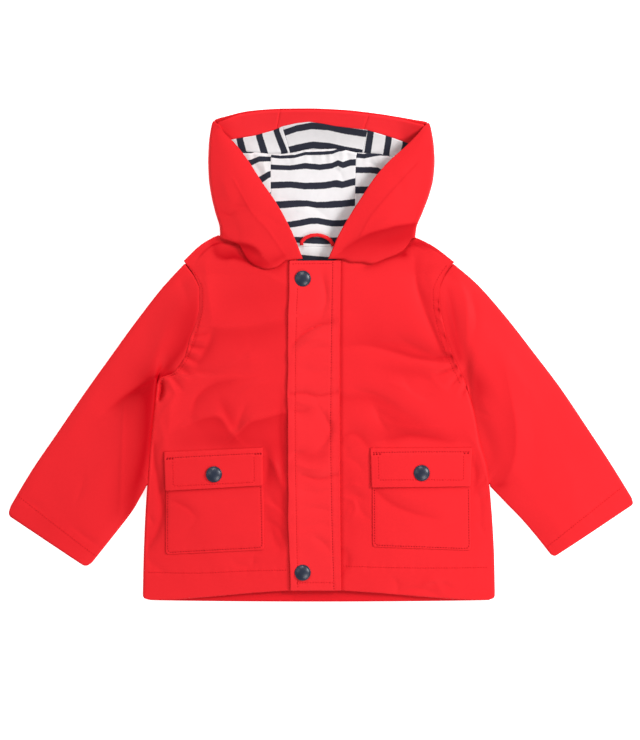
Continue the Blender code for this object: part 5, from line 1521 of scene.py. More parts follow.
def sleeve_column(side, t, arc, share):
    """A line of points along a sleeve. share is how much of the upper face's height it has."""
    s = cuffed(side, packed((0, 0.02, 4), (0.02, 0.98, 128), (0.98, 1, 4)), t, arc)
    x, y, _ = sleeve_form(side, s, t + 0 * s, arc + 0 * s)
    z = sleeve_top(side, s, t + 0 * s, x, y) * share if share else 0 * s
    return np.stack([x, y, z], -1)


def sleeve_grid(side):
    """A sleeve's points, in columns over it, round its inner edge, under it and round its outer edge."""
    turns = np.pi * np.arange(1, EDGE_COLUMNS + 1) / (EDGE_COLUMNS + 1)
    columns = [sleeve_column(side, t, 0, 1) for t in packed((0, 0.06, 7), (0.06, 0.94, 76), (0.94, 1, 7))]
    columns += [sleeve_column(side, 1, math.sin(turn), (1 + math.cos(turn)) / 2) for turn in turns]
    columns += [sleeve_column(side, t, 0, 0) for t in np.linspace(1, 0, UNDER_COLUMNS)]
    columns += [sleeve_column(side, 0, -math.sin(turn), (1 - math.cos(turn)) / 2) for turn in turns]
    grid = np.stack(columns, 1)
    return grid[:, ::-1] if side == "right" else grid


def make_sleeves():
    for side in SIDES:
        grid = sleeve_grid(side)
        # Painted shade on the sleeve's upper face only: the body's shadow beside it and its folds.
        upper = np.clip(grid[..., 2] - 1.0, 0, 1)
        painted_shade_amount = shade(grid[..., 0], grid[..., 1], SLEEVE_PAINTED_SHADE[side]) * upper
        name = f"sleeve_{side}"
        cloth(name, grid, SLEEVE_WALL, RED, "red_cloth", "laid", ["floor"], ring=True, shade=painted_shade_amount)
        t = np.linspace(0.01, 0.99, 60)
        cuff = CUFF_LINE_S + 0 * t
        x, y, _ = sleeve_form(side, cuff, t, 0 * t)
        run = np.stack([x, y, sleeve_top(side, cuff, t, x, y) + THREAD_LIFT], -1)
        stitches(f"{name}_stitches", [run], "red_cloth", FINE_THREAD_PAINTED_SHADE)


# ---------------------------------------------------------------- hood

HoodAt = namedtuple("HoodAt", ("i",) + HoodRow._fields)
# The side fold is tighter than its solid's, and the panel flatter.
FOLD_TIGHT, BULGE_SHARE = 0.55, 0.6
# Where the hood's hem lies over the fronts, its face is at least this far above theirs.
HOOD_OVER_FRONTS = ON_SHELL + 0.2

# The crown lining's own seams with its centre piece, which lean in towards the fold.
CrownSeam = namedtuple("CrownSeam", "y crown_right crown_left")
CROWN_SEAMS = [
    CrownSeam(178.0, -26.0, 37.6),
    CrownSeam(190.5, -28.2, 39.4),
    CrownSeam(209.5, -33.6, 43.8),
    CrownSeam(222.0, -37.0, 46.8),
]
# Where the hood's middle pieces end: a little beyond their seams with the side pieces.
CENTRE_ENDS = (("right", -LAP), ("left", LAP))


def seam_x(column, y, gap):
    return smooth(y, CROWN_SEAMS if column.startswith("crown") else GUSSET, "y", column) + gap


def hood_upper_column(side, t, i, fold_end, edge, at):
    """A line of points on a hood side panel's upper layer, from its hem to the crown."""
    hem = HOOD_HEM[side]
    hem_fold, hem_edge = np.array((hem[0].x, hem[0].y)), np.array((hem[-1].x, hem[-1].y))
    xy = fold_end + (edge - fold_end) * t
    x, y = xy[:, 0], xy[:, 1]
    on_hem = hem_fold + (hem_edge - hem_fold) * t
    droop = np.interp(i, range(len(DROOP_FADE)), DROOP_FADE, right=0.0)
    y = y + droop * (smooth(on_hem[0], hem, "x", "y") - on_hem[1])
    z = at["fold_z"] + (at["edge_z"] - at["fold_z"]) * t + BULGE_SHARE * at["bulge"] * math.sin(math.pi * t)
    soft = crease_height(x, y, HOOD_CREASES[side]) + wander(x, y, HOOD_SWELL)
    z = z + soft * ease(t * 5) * ease((1 - t) * 12)
    z = np.where(y < NECK_POINT_Y, np.maximum(z, front_base(x, y) + HOOD_OVER_FRONTS), z)
    return np.stack([x, y, z], -1)


def hood_grid(side):
    """A hood side panel: from its seam round the side fold to its front edge, in rows from neck to rim."""
    crown = [HoodAt(i, *row) for i, row in enumerate(HOOD[side])]
    table = crown[: CORNER_ROW + 1]
    lap = INTO[side] * LAP
    below = np.linspace(0, CORNER_ROW, HOOD_ROWS + 1)
    i = np.concatenate([below, np.linspace(CORNER_ROW, len(crown) - 1, CROWN_ROWS + 1)[1:]])
    seam_y = smooth(i, crown, "i", "seam_y")
    fold = np.stack([smooth(i, crown, "i", "fold_x"), smooth(i, crown, "i", "fold_y")], -1)
    upper = ("edge_x", "edge_y", "fold_z", "edge_z", "bulge", "turn")
    at = {c: smooth(np.minimum(i, CORNER_ROW), table, "i", c) for c in upper}
    seam = np.stack([seam_x(side, seam_y, lap), seam_y], -1)
    turn = np.where(i <= CORNER_ROW, at["turn"] * FOLD_TIGHT, 0)
    reach = np.linalg.norm(fold - seam, axis=-1)
    start = fold + (seam - fold) * (turn / reach)[:, None]
    columns = []
    for t in np.linspace(0, 1, LOWER_COLUMNS + 1):
        xy = seam + (start - seam) * t
        x = np.where(i == i[-1], seam_x(side, xy[:, 1], lap), xy[:, 0])
        columns.append(np.stack([x, xy[:, 1], tray(x, xy[:, 1])], -1))
    edge = np.stack([at["edge_x"], at["edge_y"]], -1)
    span = np.linalg.norm(edge - fold, axis=-1)
    fold_end = fold + (edge - fold) * np.minimum(turn / np.maximum(span, 1e-6), 0.4)[:, None]
    low_z, middle = columns[-1][:, 2], (start + fold_end) / 2
    for angle in np.pi * (np.arange(1, TURN_COLUMNS + 1) / TURN_COLUMNS - 0.5):
        share = (1 + np.sin(angle)) / 2
        xy = start + (fold_end - start) * share + (fold - middle) * np.cos(angle)
        columns.append(np.stack([xy[:, 0], xy[:, 1], low_z + (at["fold_z"] - low_z) * share], -1))
    for t in np.linspace(0, 1, UPPER_COLUMNS + 1)[1:]:
        columns.append(hood_upper_column(side, t, i, fold_end, edge, at))
    return np.stack(columns, 1)


def make_hood_side(side):
    grid = hood_grid(side)
    # Painted shade on the hood's upper layer: its hem's shadow and its folds; none under the fold.
    painted_shade_amount = shade(grid[..., 0], grid[..., 1], HOOD_PAINTED_SHADE[side])
    painted_shade_amount[:, : LOWER_COLUMNS + TURN_COLUMNS // 2] = 0
    last = grid.shape[1] - 2
    mirrored = side == "left"
    if mirrored:
        grid, painted_shade_amount = grid[:, ::-1], painted_shade_amount[:, ::-1]

    def keep(r, c):
        from_seam = last - c if mirrored else c
        return (r < HOOD_ROWS) | (from_seam < LOWER_COLUMNS)

    cloth(f"hood_side_{side}", grid, SHELL, RED, "red_cloth", "folded", ["floor"], keep=keep, shade=painted_shade_amount)


def hood_centre_foot(x):
    return back_neck_y(x) + GAP


def rim_y(x):
    return rim_at(x)[0]


def shell_lift(x, y):
    return SHELL + 0 * x


def make_hood_shell():
    for side in SIDES:
        make_hood_side(side)
    v, t = packed((0, 0.64, 20), (0.64, 1, 28)), np.linspace(0, 1, 49)
    grid = tray_strip(v, t, CENTRE_ENDS, hood_centre_foot, rim_y, shell_lift)
    cloth("hood_centre", grid, SHELL, RED, "red_cloth", "laid", ["floor"])


# How often a strip's end is moved to its seam, whose x depends on the y where the strip meets it.
SEAM_TRIES = 5


def tray_strip(v, t, ends, low_y, high_y, lift):
    """The points of a strip on the inside of the hood, between two ends and two curves y(x).

    An end is an x, or the name of a seam and how far beyond it the strip ends.
    """
    ends_x = []
    for end in ends:
        if not isinstance(end, tuple):
            ends_x.append(end + 0 * v)
            continue
        seam, beyond = end
        x = seam_x(seam, CROWN_FOOT_Y + 0 * v, beyond)
        for _ in range(SEAM_TRIES):
            x = seam_x(seam, low_y(x) + v * (high_y(x) - low_y(x)), beyond)
        ends_x.append(x)
    x = ends_x[0][:, None] + t[None, :] * (ends_x[1] - ends_x[0])[:, None]
    y = low_y(x) + v[:, None] * (high_y(x) - low_y(x))
    return inside_tray(x, y, lift(x, y))


def px_points(*points):
    return np.array([mm(*p) for p in points])


# The back lining's fold and the facing's lower seam as they show, in camera pixels, and how far the
# lean of the wall draws them down.
FOLD_LINE = px_points(
    (236, 150), (248, 152), (262, 153.5), (270, 154.6), (282, 154.4), (295, 152.6), (305, 149.6),
    (320, 149.2), (335, 148.6), (345, 150), (356, 152.6), (366, 153.2), (380, 154), (392, 158), (410, 164),
)
FACING_LINE = px_points(
    (222, 142), (230, 140), (253, 136.4), (273, 131), (283, 126.6), (296, 123.8), (309, 122.4), (322, 124),
    (336, 126.6), (366.6, 130.2), (389, 137), (407, 143.2), (418, 147),
)
FOLD_DRAWN, FACING_DRAWN = 1.9, 1.6


def fold_y(x):
    return np.interp(x, FOLD_LINE[:, 0], FOLD_LINE[:, 1]) + FOLD_DRAWN


def facing_y(x):
    return np.interp(x, FACING_LINE[:, 0], FACING_LINE[:, 1]) + FACING_DRAWN


LINING_CREASES = [
    Crease(((306, 206), (318, 210), (330, 219)), -1.0, 3, 3),
    Crease(((300, 190), (312, 187), (322, 182)), 0.6, 3, 3),
    Crease(((332, 166), (340, 172), (344, 182)), -0.9, 2, 3),
    Crease(((342, 158), (341, 168), (338, 176)), 0.9, 2, 3),
    Crease(((306, 156), (304, 163), (300, 170)), 0.7, 2, 3),
    Crease(((284, 158), (286, 166), (288, 172)), -0.6, 2, 3),
    Crease(((322, 222), (334, 226), (344, 232)), -1.0, 3, 3),
    Crease(((296, 212), (304, 209), (312, 204)), 0.7, 3, 3),
    Crease(((276, 196), (286, 199), (296, 204)), -0.5, 3, 3),
    Crease(((340, 196), (352, 190)), 0.5, 3, 3),
    Crease(((366, 160), (376, 166), (384, 176)), -1.1, 3, 3),
    Crease(((362, 178), (372, 190)), 0.8, 3, 3),
    Crease(((250, 160), (258, 168), (262, 178)), -1.0, 3, 3),
    Crease(((262, 160), (268, 178)), 0.8, 2, 3),
]


# The pleats at the fold: how high they are, how far apart and how much they lean, where they start, and
# how soon they are at full height.
PLEAT, PLEAT_WAVE, PLEAT_LEAN, PLEAT_FROM_Y, PLEAT_REACH = 0.5, 11, 0.12, 172, 16
# Over the fold's last millimetres the lining turns down by this much.
TURN_DOWN, TURN_DOWN_REACH = 1.2, 2.5


def rolled(x, y):
    """The back lining's upper face: it lifts towards its fold, and puckers there."""
    along = (y - LINING_FOLD_START_Y) / (fold_y(x) - LINING_FOLD_START_Y)
    near_fold = ease((y - PLEAT_FROM_Y) / PLEAT_REACH)
    pleats = PLEAT * (1 + ripple(x + PLEAT_LEAN * y, PLEAT_WAVE, 2.0)) * near_fold
    soft = ROLLED_SWELL.height + wander(x, y, ROLLED_SWELL) + crease_height(x, y, LINING_CREASES)
    over = TURN_DOWN * ease((y - fold_y(x) + TURN_DOWN_REACH) / TURN_DOWN_REACH)
    return ON_TRAY + LINING + LINING_FOLD_LIFT * ease(along) + soft + pleats - over


# The facing and the crown's lining lift in the hood's corners: how far from the middle, and how much.
HOOD_MIDDLE_X, CORNER_FROM, CORNER_REACH, CORNER_RISE = 1.0, 72, 22, 1.5
# How much further the facing's ends go under the hood's sides than they do in the part.
FACING_BEYOND = 4.0


def lying(x, y):
    """The upper face of the facing and of the crown's lining."""
    in_corner = ease((np.abs(x - HOOD_MIDDLE_X) - CORNER_FROM) / CORNER_REACH)
    return ON_TRAY + LINING + LYING_SWELL.height + wander(x, y, LYING_SWELL) + CORNER_RISE * in_corner


# The middles of the stripes, each a line of camera pixels, in order from the foot or the wearer's right.
BACK_STRIPES = [
    ((270, 276), (356, 276)),
    ((290, 257), (300, 257.6), (327, 260.2), (345, 261.2)),
    ((290, 239), (314, 240.4), (325, 240.7), (345, 239.5)),
    (
        (278, 226), (290, 225), (300, 223.1), (311, 220.3), (318, 220.1), (325, 221.8), (332, 223.2),
        (341, 223.3), (350, 222),
    ),
    (
        (270, 205), (278, 204.5), (298.7, 203), (307.3, 203.1), (316.6, 205.1), (325, 204.9),
        (339.4, 203.8), (356, 202),
    ),
    ((270, 185), (290, 184), (305, 186.2), (325, 185), (335, 183.2), (342, 184.6), (356, 181)),
    (
        (270, 166), (290, 167), (305, 164.8), (320, 166.5), (332, 165), (338, 162), (343, 164.6),
        (350, 162), (356, 162),
    ),
    (
        (270, 155.4), (280, 156.8), (295, 156), (305, 152.8), (320, 152.4), (332, 151.6), (339, 149.2),
        (356, 144),
    ),
    ((270, 149.6), (305, 147), (332, 146), (356, 138.5)),
]
SIDE_RIGHT_STRIPES = [
    ((255, 206), (273, 194), (285, 190)),
    ((250, 187), (262, 178.5), (268, 174), (273, 172)),
    ((244, 163), (251, 161), (259, 157.5), (270, 158.6)),
    ((236, 150), (251, 151.5), (262, 148), (272, 146)),
]
SIDE_LEFT_STRIPES = [
    ((350, 209), (375, 210)),
    ((350, 190), (375, 189.6)),
    ((350, 169), (371, 169.2), (378, 170.4), (384, 175), (395, 184)),
    ((350, 154.5), (364, 156), (380, 152), (400, 150)),
]
CROWN_STRIPES = [
    ((276, 172), (311, 165), (330, 166), (372, 174)),
    ((280, 152), (291, 149), (305, 146), (313, 144.6), (330, 146), (345, 149.4), (361, 152.4), (372, 155)),
    (
        (280, 134.6), (285, 132.8), (297, 128.6), (311, 126.3), (327, 127.2), (345, 131), (366, 133.8),
        (372, 134.6),
    ),
    ((276, 116), (311, 108), (330, 109), (372, 116)),
]
CROWN_RIGHT_STRIPES = [
    ((221.5, 139), (222, 151)),
    ((239.5, 139), (242.5, 151)),
    ((259.3, 136), (264.6, 153)),
    ((276.4, 131), (284.4, 151)),
    ((293.5, 131), (303, 151)),
]
CROWN_LEFT_STRIPES = [
    ((352, 133), (348, 154)),
    ((370.5, 133), (367.4, 154)),
    ((389, 138), (386.2, 156)),
    ((405.6, 144), (404, 150)),
    ((423, 144), (422, 150)),
]


def striped(lines, upright=False):
    """A function that says where a point lies in a set of stripes: a whole number is the middle of one."""
    along, over = (1, 0) if upright else (0, 1)

    def stripe(x, y):
        at = [x, y]
        middles = []
        for line in lines:
            points = px_points(*line)
            points = points[np.argsort(points[:, along])]
            middles.append(np.interp(at[along], points[:, along], points[:, over]))
        middles = np.stack(middles)
        value = at[over]
        result = np.full(np.shape(value), 0.5)
        for k in range(len(middles) - 1):
            low, high = middles[k], middles[k + 1]
            part = (value - low) / (high - low)
            inside = (part >= 0) & ((part < 1) | (k == len(middles) - 2))
            result = np.where(inside, k + part, result)
        return result

    return stripe


def lining_top_neck(x):
    return back_neck_y(x) - LAP


def side_right_foot(x):
    return LINING_SIDE_RIGHT.y + 0 * x


def side_left_foot(x):
    return LINING_SIDE_LEFT.y + 0 * x


def crown_foot(x):
    return fold_y(x) - LINING_OVERLAP


def under_facing(x):
    return facing_y(x) + LAP


def inside_rim(x):
    return rim_y(x) - 2 * TURNED_IN


CROWN_ENDS = (("crown_right", -LAP), ("crown_left", LAP))
RIGHT_SEAM, LEFT_SEAM = ("right", LAP), ("left", -LAP)
BACK_RIGHT_ENDS, BACK_LEFT_ENDS = (LINING_SIDE_RIGHT.x, RIGHT_SEAM), (LEFT_SEAM, LINING_SIDE_LEFT.x)
CROWN_RIGHT_ENDS = (CROWN_LINING_RIGHT_X, ("crown_right", LAP))
CROWN_LEFT_ENDS = (("crown_left", -LAP), CROWN_LINING_LEFT_X)
FACING_RIGHT_ENDS = (FACING_RIGHT_X - FACING_BEYOND, RIGHT_SEAM)
FACING_LEFT_ENDS = (LEFT_SEAM, FACING_LEFT_X + FACING_BEYOND)
# A piece of the hood's lining or facing: its ends, its lower and upper curves y(x), its face's lift,
# its looks, and how fine its mesh is.
LiningLook = namedtuple("LiningLook", "node ends low_y high_y lift stripe mat slot rows columns")


def back_lining(name, ends, foot, stripes, rows, columns):
    stripe, slot = striped(stripes), "striped_jersey"
    return LiningLook(f"lining_back_{name}", ends, foot, fold_y, rolled, stripe, JERSEY, slot, rows, columns)


def crown_lining(name, ends, stripe, rows, columns):
    node_name, slot = f"lining_crown_{name}", "striped_jersey"
    return LiningLook(node_name, ends, crown_foot, under_facing, lying, stripe, JERSEY, slot, rows, columns)


def hood_facing(name, ends, columns):
    node_name, slot = f"hood_facing_{name}", "red_facing"
    return LiningLook(node_name, ends, facing_y, inside_rim, lying, None, RED_FACING_PAINTED_LIGHT, slot, 18, columns)


def make_hood_lining():
    looks = [
        back_lining("centre", CENTRE_ENDS, lining_top_neck, BACK_STRIPES, 120, 110),
        back_lining("right", BACK_RIGHT_ENDS, side_right_foot, SIDE_RIGHT_STRIPES, 70, 56),
        back_lining("left", BACK_LEFT_ENDS, side_left_foot, SIDE_LEFT_STRIPES, 70, 66),
        crown_lining("centre", CROWN_ENDS, striped(CROWN_STRIPES), 50, 100),
        crown_lining("right", CROWN_RIGHT_ENDS, striped(CROWN_RIGHT_STRIPES, True), 44, 70),
        crown_lining("left", CROWN_LEFT_ENDS, striped(CROWN_LEFT_STRIPES, True), 44, 70),
        hood_facing("centre", CENTRE_ENDS, 60),
        hood_facing("right", FACING_RIGHT_ENDS, 44),
        hood_facing("left", FACING_LEFT_ENDS, 44),
    ]
    for k in looks:
        v, t = np.linspace(0, 1, k.rows + 1), np.linspace(0, 1, k.columns + 1)
        grid = tray_strip(v, t, k.ends, k.low_y, k.high_y, k.lift)
        x, y = grid[..., 0], grid[..., 1]
        stripe = k.stripe(x, y) if k.stripe else None
        # The facing takes painted shade in the hood's corners; the striped pieces take none.
        painted_shade_amount = None if k.stripe else shade(x, y, FACING_PAINTED_SHADE)
        cloth(k.node, grid, LINING, k.mat, k.slot, "laid", ["hood_centre"], stripe=stripe, shade=painted_shade_amount)


# ---------------------------------------------------------------- on the fronts


def flap_left(y):
    return smooth(y, STORM_FLAP_ROWS, "y", "left_edge")


def flap_right(y):
    return smooth(y, STORM_FLAP_ROWS, "y", "seam")


# The storm flap's sewing: at its seam, then at its free edge, its foot and its top.
FLAP_SEAMS = [
    Seam(px_line((332.8, 261), (331.4, 350), (330.8, 430), (331.8, 510), (334, 590)), 0.35, 0.8, 0.2, 5, 8),
    Seam(px_line((297.6, 288), (295.8, 350), (295.4, 430), (296.4, 510), (298, 588)), 0.22, 0.8, 0.12, 4, 9),
    Seam(px_line((296, 583), (314, 582.5), (334, 582.8)), 0.25, 0.8, 0.1, 4, 8),
    Seam(px_line((292, 264), (314, 263.6), (333, 263.6)), 0.12, 0.8, 0.06, 4, 8),
]
# The gap under the flap, how much more it stands off at its free edge and less at its seam, and its waves.
FLAP_GAP, FLAP_STANDS_OFF, FLAP_WAVE, FLAP_WAVE_LENGTH = 0.35, 0.6, 0.35, 34
# The free edge wanders sideways by this much.
EDGE_WANDER, EDGE_WANDER_LENGTH = 0.4, 62


def flap_surface(x, y):
    """The storm flap's upper face: it stands off at its free edge and is sewn down at its seam."""
    t = (x - flap_left(y)) / (flap_right(y) - flap_left(y))
    off = FLAP_GAP + FLAP_WALL + FLAP_STANDS_OFF * np.clip(1 - t / 0.35, 0, 1) ** 1.5
    off = off - FLAP_STANDS_OFF * np.clip((t - 0.8) / 0.2, 0, 1) ** 2
    edge_wave = FLAP_WAVE * ripple(y, FLAP_WAVE_LENGTH, 1.0) * np.clip(1 - t / 0.5, 0, 1)
    own = FLAP_RELIEF * crease_height(x, y, FLAP_CREASES) + seam_height(x, y, FLAP_SEAMS)
    return front_base(x, y) + off + edge_wave + own


def make_storm_flap():
    foot_y, top_y = STORM_FLAP_ROWS[0].y, STORM_FLAP_ROWS[-1].y
    y = packed((foot_y, foot_y + 1.5, 3), (foot_y + 1.5, top_y - 1.5, 250), (top_y - 1.5, top_y, 3))[:, None]
    t = packed((0, 0.03, 4), (0.03, 0.97, 44), (0.97, 1, 4))[None, :]
    sideways = EDGE_WANDER * ripple(y, EDGE_WANDER_LENGTH, 2.0) * (1 - t) ** 2
    x = flap_left(y) + t * (flap_right(y) - flap_left(y)) + sideways
    y = y + 0 * x
    grid = np.stack([x, y, flap_surface(x, y)], -1)
    # Painted shade in the flap's folds and along its edges.
    painted_shade_amount = shade(x, y, FLAP_PAINTED_SHADE)
    under = ["front_left", "front_right"]
    cloth("storm_flap", grid, FLAP_WALL, RED_FLAP_PAINTED_LIGHT, "red_cloth", "laid", under, shade=painted_shade_amount)
    main, *fine = on(flap_surface, [seam.line for seam in FLAP_SEAMS])
    stitches("storm_flap_stitches", [main], "red_cloth")
    stitches("storm_flap_fine_stitches", fine, "red_cloth", FINE_THREAD_PAINTED_SHADE)


def patch_plan(corners, rows, columns, round_by):
    """The plan of a patch, from its lower edge up, with its lower corners rounded."""
    top_left, top_right, bottom_right, bottom_left = (np.array(c, float) for c in corners)
    length = np.linalg.norm(bottom_left - top_left)
    v = packed((1, 1 - round_by / length, 10), (1 - round_by / length, 0, rows))
    t = packed((0, 0.03, 4), (0.03, 0.97, columns), (0.97, 1, 4))
    x, y = [], []
    for v_row in v:
        left = top_left + v_row * (bottom_left - top_left)
        right = top_right + v_row * (bottom_right - top_right)
        low = max(0.0, 1 - (1 - v_row) * length / round_by)
        drawn = round_by * (1 - math.sqrt(max(0.0, 1 - low * low))) * 0.9
        inset = drawn / np.linalg.norm(right - left)
        line = left + (inset + t * (1 - 2 * inset))[:, None] * (right - left)
        x.append(line[:, 0])
        y.append(line[:, 1])
    return np.array(x), np.array(y)


# A pocket is topstitched round its sides and foot.
POCKET_LINES = {
    "right": px_line(
        (167.8, 492), (167.6, 540), (167.9, 551), (169.6, 552.4), (215, 549.8), (259.8, 547.4),
        (261.8, 545.6), (261.8, 535), (260.8, 486),
    ),
    "left": px_line(
        (374.4, 489), (374.6, 536), (374.8, 543), (377, 545), (421, 546.8), (466.6, 548.4),
        (468.9, 546.4), (469, 538), (468.4, 489),
    ),
}
# A pocket flap is sewn along its top, tacked at both ends of that line, and topstitched round the rest.
POCKET_FLAP_TOP = {
    "right": px_line((166.6, 458.0), (215, 455.4), (262, 453.0)),
    "left": px_line((372.4, 452.4), (421, 451.8), (470, 451.8)),
}
POCKET_FLAP_ROUND = {
    "right": [
        px_line((173.2, 461), (173.6, 485.6)),
        px_line((174, 486), (215, 484), (254, 482)),
        px_line((254.4, 456), (254.6, 481.6)),
    ],
    "left": [
        px_line((378.4, 456), (379, 479.2)),
        px_line((379.4, 479.8), (421, 479.6), (463, 480)),
        px_line((463.8, 455.6), (463.4, 479.6)),
    ],
}
BAR_TACKS = {
    "right": [px_line((166, 459.4), (174.2, 459)), px_line((254.4, 454.4), (262.4, 454))],
    "left": [px_line((372.6, 454.6), (381.4, 454.4)), px_line((462.8, 453.8), (470, 453.6))],
}
# A bar tack is two rows of thread this far apart.
TACK_STEP = 0.7
POCKET_SEAMS = {side: [Seam(POCKET_LINES[side], 0.22, 0.7, 0.14, 3.5, 7)] for side in SIDES}
POCKET_FLAP_SEAMS = {
    side: [
        Seam(POCKET_FLAP_TOP[side], 0.35, 1.0, 0.12, 3.5, 7),
        *(Seam(line, 0.14, 0.7, 0.08, 3.5, 7) for line in POCKET_FLAP_ROUND[side]),
        *(Seam(line, 0.3, 0.8, 0.0) for line in BAR_TACKS[side]),
    ]
    for side in SIDES
}
# How high a pocket's face lies on its front, the gap under a pocket flap, and how far that flap bows out
# towards its foot.
PATCH_TOP, POCKET_FLAP_GAP, FLAP_BOW = 0.85, 0.2, 0.25


def pocket_surface(side):
    def top(x, y):
        own = crease_height(x, y, POCKET_CREASES[side]) + seam_height(x, y, POCKET_SEAMS[side])
        return front_base(x, y) + PATCH_TOP + own

    return top


def height_between(a, b, x):
    """The y at x on the straight line from a to b."""
    return a[1] + (x - a[0]) / (b[0] - a[0]) * (b[1] - a[1])


def down_flap(side, x, y):
    """How far down a pocket flap a point is, from 0 at its top to 1 at its foot."""
    corners = POCKET_FLAP_CORNERS[side]
    top_y = height_between(corners.top_left, corners.top_right, x)
    foot_y = height_between(corners.bottom_left, corners.bottom_right, x)
    return (top_y - y) / (top_y - foot_y)


def pocket_flap_surface(side):
    def top(x, y):
        v = np.clip(down_flap(side, x, y), 0, 1)
        off = POCKET_FLAP_GAP + PATCH_TOP * np.minimum(v / FLAP_RAMP, 1) + POCKET_FLAP_WALL
        off = off + FLAP_BOW * ease((v - 0.4) * 1.8)
        return front_base(x, y) + off + seam_height(x, y, POCKET_FLAP_SEAMS[side])

    return top


def make_pocket(side):
    x, y = patch_plan(POCKET_CORNERS[side], 60, 66, POCKET_ROUND)
    top = pocket_surface(side)
    grid = np.stack([x, y, top(x, y)], -1)
    # Painted shade in the pocket's folds and below its flap.
    name, painted_shade_amount = f"pocket_{side}", shade(x, y, POCKET_PAINTED_SHADE)
    cloth(name, grid, PATCH_WALL, RED, "red_cloth", "laid", [f"front_{side}"], shade=painted_shade_amount)
    stitches(f"{name}_stitches", on(top, [POCKET_LINES[side]]), "red_cloth")


def make_pocket_flap(side):
    x, y = patch_plan(POCKET_FLAP_CORNERS[side], 34, 70, FLAP_ROUND)
    top = pocket_flap_surface(side)
    grid = np.stack([x, y, top(x, y)], -1)
    name = f"pocket_flap_{side}"
    cloth(name, grid, POCKET_FLAP_WALL, RED, "red_cloth", "laid", [f"pocket_{side}"])
    second_rows = [line + (0, TACK_STEP) for line in BAR_TACKS[side]]
    strong = [POCKET_FLAP_TOP[side], *BAR_TACKS[side], *second_rows]
    stitches(f"{name}_stitches", on(top, strong), "red_cloth")
    stitches(f"{name}_fine_stitches", on(top, POCKET_FLAP_ROUND[side]), "red_cloth", FINE_THREAD_PAINTED_SHADE)


def make_pockets():
    for side in SIDES:
        make_pocket(side)
        make_pocket_flap(side)


# A snap cap's section from its middle to its edge: a dome, a groove and a rolled rim.
Turn = namedtuple("Turn", "radius z")
SNAP_LOOK = [
    Turn(0.0, 2.9),
    Turn(1.2, 2.86),
    Turn(2.4, 2.72),
    Turn(3.6, 2.46),
    Turn(4.7, 2.1),
    Turn(5.5, 1.75),
    Turn(6.0, 1.5),
    Turn(6.3, 1.36),
    Turn(6.6, 1.4),
    Turn(6.9, 1.46),
    Turn(7.15, 1.38),
    Turn(7.38, 1.12),
    Turn(7.5, 0.75),
    Turn(7.5, 0.3),
    Turn(7.4, 0.0),
]
SNAP_AROUND = 64
# A cap is let into its cloth by this much, below the cloth's mean height on a ring of this radius.
SNAP_SUNK, SEAT_RADIUS, SEAT_POINTS = 0.1, 6, 16


def snap_seat(snap, top):
    around = 2 * math.pi * np.arange(SEAT_POINTS) / SEAT_POINTS
    ring = top(snap.x + SEAT_RADIUS * np.cos(around), snap.y + SEAT_RADIUS * np.sin(around))
    return float(ring.mean()) - SNAP_SUNK


def make_snap(snap, top):
    base = snap_seat(snap, top)
    verts = [(snap.x, snap.y, base + SNAP_LOOK[0].z)]
    for turn in SNAP_LOOK[1:]:
        for k in range(SNAP_AROUND):
            angle = 2 * math.pi * k / SNAP_AROUND
            x = snap.x + turn.radius * math.cos(angle)
            y = snap.y + turn.radius * math.sin(angle)
            verts.append((x, y, base + turn.z))
    faces = [(0, 1 + k, 1 + (k + 1) % SNAP_AROUND) for k in range(SNAP_AROUND)]
    # These triangles close the dome's top, so the tube's own end there is left out.
    *turned, _, underside = tube_faces(len(SNAP_LOOK) - 1, SNAP_AROUND, 1)
    faces += [tuple(reversed(face)) for face in (*turned, underside)]
    plain_object(f"{snap.name}_cap", verts, faces, NAVY, "navy_snap", [snap.name])


def make_snaps():
    tops = {side: pocket_flap_surface(side) for side in SIDES}
    for snap in SNAPS:
        on_pocket = snap.on == "pocket_flap"
        make_snap(snap, tops[snap.name.removeprefix("snap_pocket_")] if on_pocket else flap_surface)


LOOP_RADIUS, LOOP_SIDES = 1.7, 16
LOOP_LINE = px_line(
    (301.6, 245.2), (301.6, 241.5), (305.4, 237.6), (311, 235.3), (317.4, 234.8), (324, 236.3), (330.4, 240),
    (333.4, 246),
)
# How flat the loop is, how far it lies above the lining, and its binding's seam: how deep it is, where
# round the loop and how wide.
LOOP_FLATTEN, LOOP_CLEARS = 0.75, 0.9
BINDING_DEPTH, BINDING_TURN, BINDING_WIDTH = 0.14, math.pi * 0.7, 0.3


def make_loop():
    """The hanger loop: a bound cord, a little flattened, sewn in under the hood's lining."""
    z = ON_TRAY + LINING + LOOP_CLEARS + LOOP_RADIUS
    verts = []
    run = np.gradient(LOOP_LINE, axis=0)
    run /= np.linalg.norm(run, axis=1, keepdims=True)
    for (x, y), (dx, dy) in zip(LOOP_LINE, run):
        for k in range(LOOP_SIDES):
            turn = 2 * math.pi * k / LOOP_SIDES
            groove = BINDING_DEPTH * math.exp(-(((turn - BINDING_TURN) / BINDING_WIDTH) ** 2))
            r = LOOP_RADIUS * (1 - groove)
            beside, up = r * math.cos(turn), LOOP_FLATTEN * r * math.sin(turn)
            verts.append((x + dy * beside, y - dx * beside, z + up))
    faces = [tuple(reversed(face)) for face in tube_faces(len(LOOP_LINE), LOOP_SIDES)]
    plain_object("hanger_loop_cord", verts, faces, RED, "red_cloth", ["hanger_loop"])


# ---------------------------------------------------------------- stage

# The floor's half width and its height, in metres, and how brightly it and the sky glow.
FLOOR_HALF, FLOOR_Z, FLOOR_GLOW, SKY_GLOW = 3.0, -0.0004, 0.75, 0.31
# The camera's height and the height at which a pixel is PIXEL wide, in metres, its sensor in
# millimetres, and how far it sees, in metres.
CAMERA_HEIGHT, SHARP_HEIGHT, SENSOR, FAR_CLIP = 4.0, 0.010, 36.0, 20.0
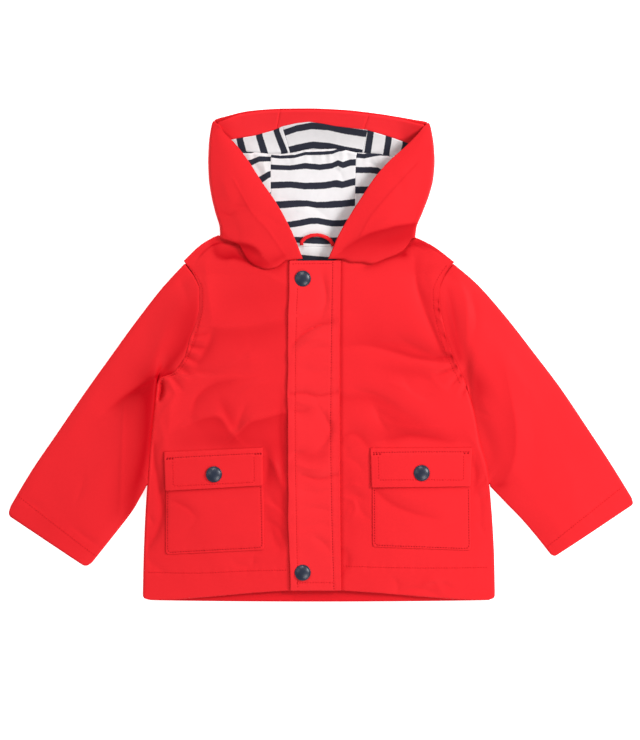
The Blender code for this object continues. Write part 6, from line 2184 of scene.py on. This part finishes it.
# The lamps, in metres and watts.
Lamp = namedtuple("Lamp", "name place size power")
LAMPS = [
    Lamp("key", (2.1, 0.8, 1.6), 0.8, 57.0),
    Lamp("low", (0.6, -0.95, 1.1), 0.6, 8.5),
    Lamp("top", (-0.3, 2.0, 1.8), 0.8, 20.0),
    Lamp("side", (-1.3, 0.3, 1.5), 0.9, 4.5),
]


def make_floor():
    corners = [(x * FLOOR_HALF, y * FLOOR_HALF, FLOOR_Z) for x, y in ((-1, -1), (1, -1), (1, 1), (-1, 1))]
    mesh = bpy.data.meshes.new("floor")
    mesh.from_pydata(corners, [], [(0, 1, 2, 3)])
    floor = bpy.data.objects.new("floor", mesh)
    bpy.context.collection.objects.link(floor)
    mat, _, shader = new_material("floor_look")
    shader.inputs["Base Color"].default_value = (0.9, 0.9, 0.9, 1)
    shader.inputs["Roughness"].default_value = 0.9
    shader.inputs["Specular IOR Level"].default_value = 0.0
    shader.inputs["Emission Color"].default_value = (1, 1, 1, 1)
    shader.inputs["Emission Strength"].default_value = FLOOR_GLOW
    mesh.materials.append(mat)


def make_lamp(lamp):
    data = bpy.data.lights.new(lamp.name, "AREA")
    data.shape = "SQUARE"
    data.size = lamp.size
    data.energy = lamp.power
    ob = bpy.data.objects.new(lamp.name, data)
    ob.location = lamp.place
    ob.rotation_euler = (-Vector(lamp.place)).to_track_quat("-Z", "Y").to_euler()
    bpy.context.collection.objects.link(ob)


def make_camera():
    """The camera looks straight down, so that a pixel is PIXEL millimetres wide at the jacket's height."""
    data = bpy.data.cameras.new("camera")
    data.sensor_width = SENSOR
    data.sensor_fit = "AUTO"
    data.lens = SENSOR * (CAMERA_HEIGHT - SHARP_HEIGHT) / (PICTURE_LONG_PX * PIXEL * MM)
    data.clip_end = FAR_CLIP
    camera = bpy.data.objects.new("camera", data)
    x, y = mm(*PICTURE_MIDDLE_PX)
    camera.location = (x * MM, y * MM, CAMERA_HEIGHT)
    bpy.context.collection.objects.link(camera)
    bpy.context.scene.camera = camera


def make_stage():
    make_floor()
    world = bpy.data.worlds.new("studio")
    world.use_nodes = True
    background = world.node_tree.nodes["Background"]
    background.inputs["Color"].default_value = (1, 1, 1, 1)
    background.inputs["Strength"].default_value = SKY_GLOW
    bpy.context.scene.world = world
    for lamp in LAMPS:
        make_lamp(lamp)
    make_camera()
    bpy.context.scene.view_settings.view_transform = "Standard"


make_fronts()
make_back()
make_back_inside()
make_sleeves()
make_hood_shell()
make_hood_lining()
make_storm_flap()
make_pockets()
make_snaps()
make_loop()
make_stage()
